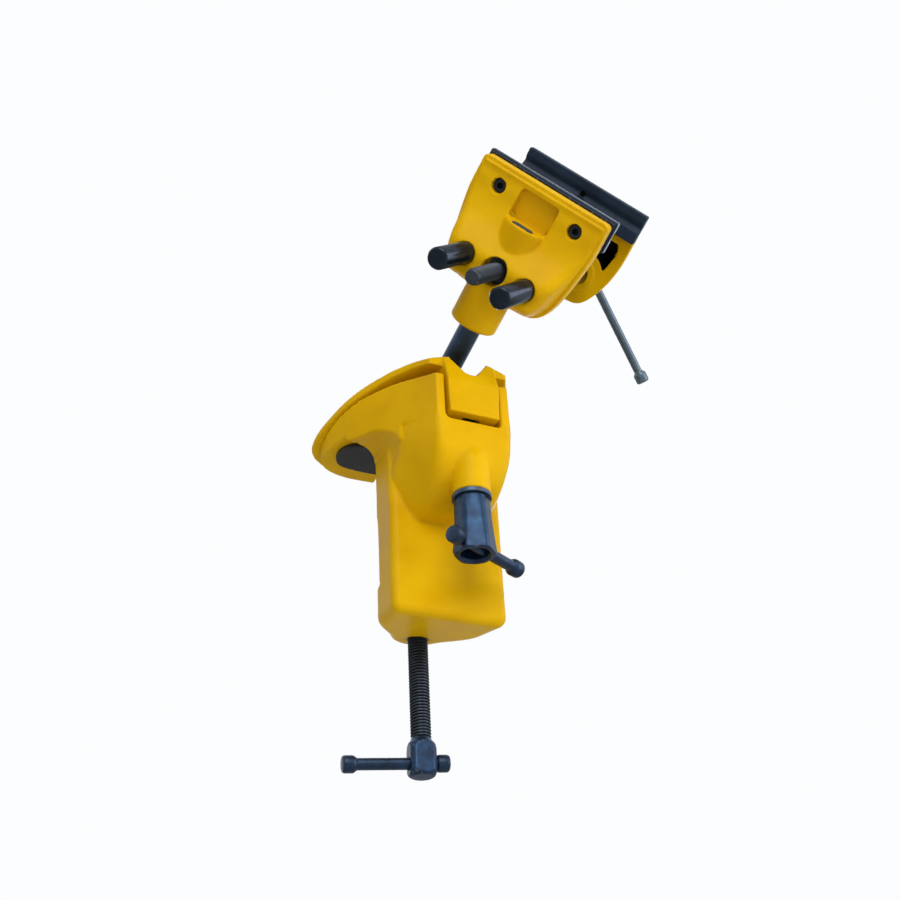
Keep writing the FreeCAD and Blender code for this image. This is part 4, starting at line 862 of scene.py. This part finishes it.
def pale_floor(height):
    """Floor of matt paint that can be seen through from below."""
    bm = bmesh.new()
    bmesh.ops.create_grid(bm, x_segments=2, y_segments=2, size=FLOOR_HALF)
    bmesh.ops.translate(bm, vec=(0, 0, height), verts=bm.verts)
    mesh = bpy.data.meshes.new("pale_floor")
    bm.to_mesh(mesh)
    bm.free()
    floor = bpy.data.objects.new("pale_floor", mesh)
    bpy.context.scene.collection.objects.link(floor)
    material, tree, place = blank("pale_floor_paint")
    cloud = add(tree, "ShaderNodeTexNoise", links={"Vector": place}, Scale=3.0, Detail=2.0)
    tone = add(tree, "ShaderNodeValToRGB", links={"Fac": cloud.outputs["Fac"]},
               stops=[(0.3, linear("#E9E7E3")), (0.7, linear("#EEECE8"))])
    paint = add(tree, "ShaderNodeBsdfPrincipled", links={"Base Color": tone.outputs["Color"]},
                Roughness=0.8)
    clear = add(tree, "ShaderNodeBsdfTransparent")
    side = add(tree, "ShaderNodeNewGeometry").outputs["Backfacing"]
    mix = add(tree, "ShaderNodeMixShader", links={0: side, 1: paint.outputs["BSDF"],
                                                  2: clear.outputs["BSDF"]})
    add(tree, "ShaderNodeOutputMaterial", links={"Surface": mix.outputs["Shader"]})
    mesh.materials.append(material)


def studio_world():
    """Soft light that fades downwards, and a white background for the eye and for metal."""
    world = bpy.data.worlds.new("studio")
    bpy.context.scene.world = world
    world.use_nodes = True
    tree = world.node_tree
    tree.nodes.clear()
    way = add(tree, "ShaderNodeTexCoord").outputs["Generated"]
    height = add(tree, "ShaderNodeSeparateXYZ", links={"Vector": way}).outputs["Z"]
    level = add(tree, "ShaderNodeMapRange", links={"Value": height}, From_Min=-0.6, From_Max=0.8,
                To_Min=0.06, To_Max=0.32)
    # Bounced light is warm from below and cool from above
    rise = add(tree, "ShaderNodeMapRange", links={"Value": height}, From_Min=-1.0, From_Max=1.0)
    cast = add(tree, "ShaderNodeValToRGB", links={"Fac": rise.outputs["Result"]},
               stops=[(0.25, linear("#FFD596")), (0.7, linear("#E6ECF4"))])
    soft = add(tree, "ShaderNodeBackground", links={"Strength": level.outputs["Result"],
                                                    "Color": cast.outputs["Color"]})
    white = add(tree, "ShaderNodeBackground", Color=linear("#FCFDFE"), Strength=1.0)
    rays = add(tree, "ShaderNodeLightPath").outputs
    shown = rays["Is Camera Ray"]
    for other in ("Is Glossy Ray", "Is Transmission Ray"):
        shown = add(tree, "ShaderNodeMath", settings={"operation": "MAXIMUM"},
                    links={0: shown, 1: rays[other]}).outputs[0]
    mix = add(tree, "ShaderNodeMixShader", links={0: shown, 1: soft.outputs["Background"],
                                                  2: white.outputs["Background"]})
    add(tree, "ShaderNodeOutputWorld", links={"Surface": mix.outputs["Shader"]})


def photo_camera(focal):
    """Camera that sees the vise as the photograph does."""
    lens = bpy.data.cameras.new("camera")
    lens.lens = focal
    lens.sensor_width = 36.0
    lens.clip_start = 0.01
    camera = bpy.data.objects.new("camera", lens)
    bpy.context.scene.collection.objects.link(camera)
    turned = Matrix((CAMERA_RIGHT, -CAMERA_DOWN, -CAMERA_AHEAD)).transposed().to_4x4()
    camera.matrix_world = Matrix.Translation(CAMERA_PLACE) @ turned
    bpy.context.scene.camera = camera


class VISE_OT_stage(bpy.types.Operator):
    """Set the floor, the soft lights and the camera"""

    bl_idname = "vise.stage"
    bl_label = "Stage"

    def execute(self, context):
        stage = context.scene.vise_stage
        pale_floor(stage.floor)
        studio_world()
        for lamp in LAMPS:
            area_light(*lamp)
        photo_camera(stage.lens)
        context.scene.view_settings.view_transform = "Standard"
        return {"FINISHED"}


# Panel


class VISE_PT_sidebar(bpy.types.Panel):
    """Pieces of the vise and their settings"""

    bl_idname = "VISE_PT_sidebar"
    bl_label = "Ball Joint Vise"
    bl_space_type = "VIEW_3D"
    bl_region_type = "UI"
    bl_category = "Vise"

    def draw(self, context):
        layout = self.layout
        for group in GROUPS:
            settings = getattr(context.scene, group)
            for key in settings.bl_rna.properties.keys():
                if key not in ("rna_type", "name"):
                    layout.prop(settings, key)
        for operator in OPERATORS:
            layout.operator(operator.bl_idname)


OPERATORS = (VISE_OT_castings, VISE_OT_jaw_pads, VISE_OT_seat_pad, VISE_OT_bars, VISE_OT_lock,
             VISE_OT_clamp_screw, VISE_OT_jaw_screw, VISE_OT_ball, VISE_OT_jaw_fasteners,
             VISE_OT_carried, VISE_OT_stage)
GROUPS = {"vise_coat": ViseCoatSettings, "vise_thread": ViseThreadSettings,
          "vise_stage": ViseStageSettings}


def register():
    for group in GROUPS.values():
        bpy.utils.register_class(group)
    for operator in OPERATORS:
        bpy.utils.register_class(operator)
    bpy.utils.register_class(VISE_PT_sidebar)
    for name, group in GROUPS.items():
        setattr(bpy.types.Scene, name, bpy.props.PointerProperty(type=group))


def unregister():
    for name in GROUPS:
        delattr(bpy.types.Scene, name)
    bpy.utils.unregister_class(VISE_PT_sidebar)
    for operator in reversed(OPERATORS):
        bpy.utils.unregister_class(operator)
    for group in GROUPS.values():
        bpy.utils.unregister_class(group)


def main():
    register()
    bpy.ops.vise.castings()
    bpy.ops.vise.jaw_pads()
    bpy.ops.vise.seat_pad()
    bpy.ops.vise.bars()
    bpy.ops.vise.lock()
    bpy.ops.vise.clamp_screw()
    bpy.ops.vise.jaw_screw()
    bpy.ops.vise.ball()
    bpy.ops.vise.jaw_fasteners()
    bpy.ops.vise.carried()
    bpy.ops.vise.stage()


if __name__ == "__main__":
    main()
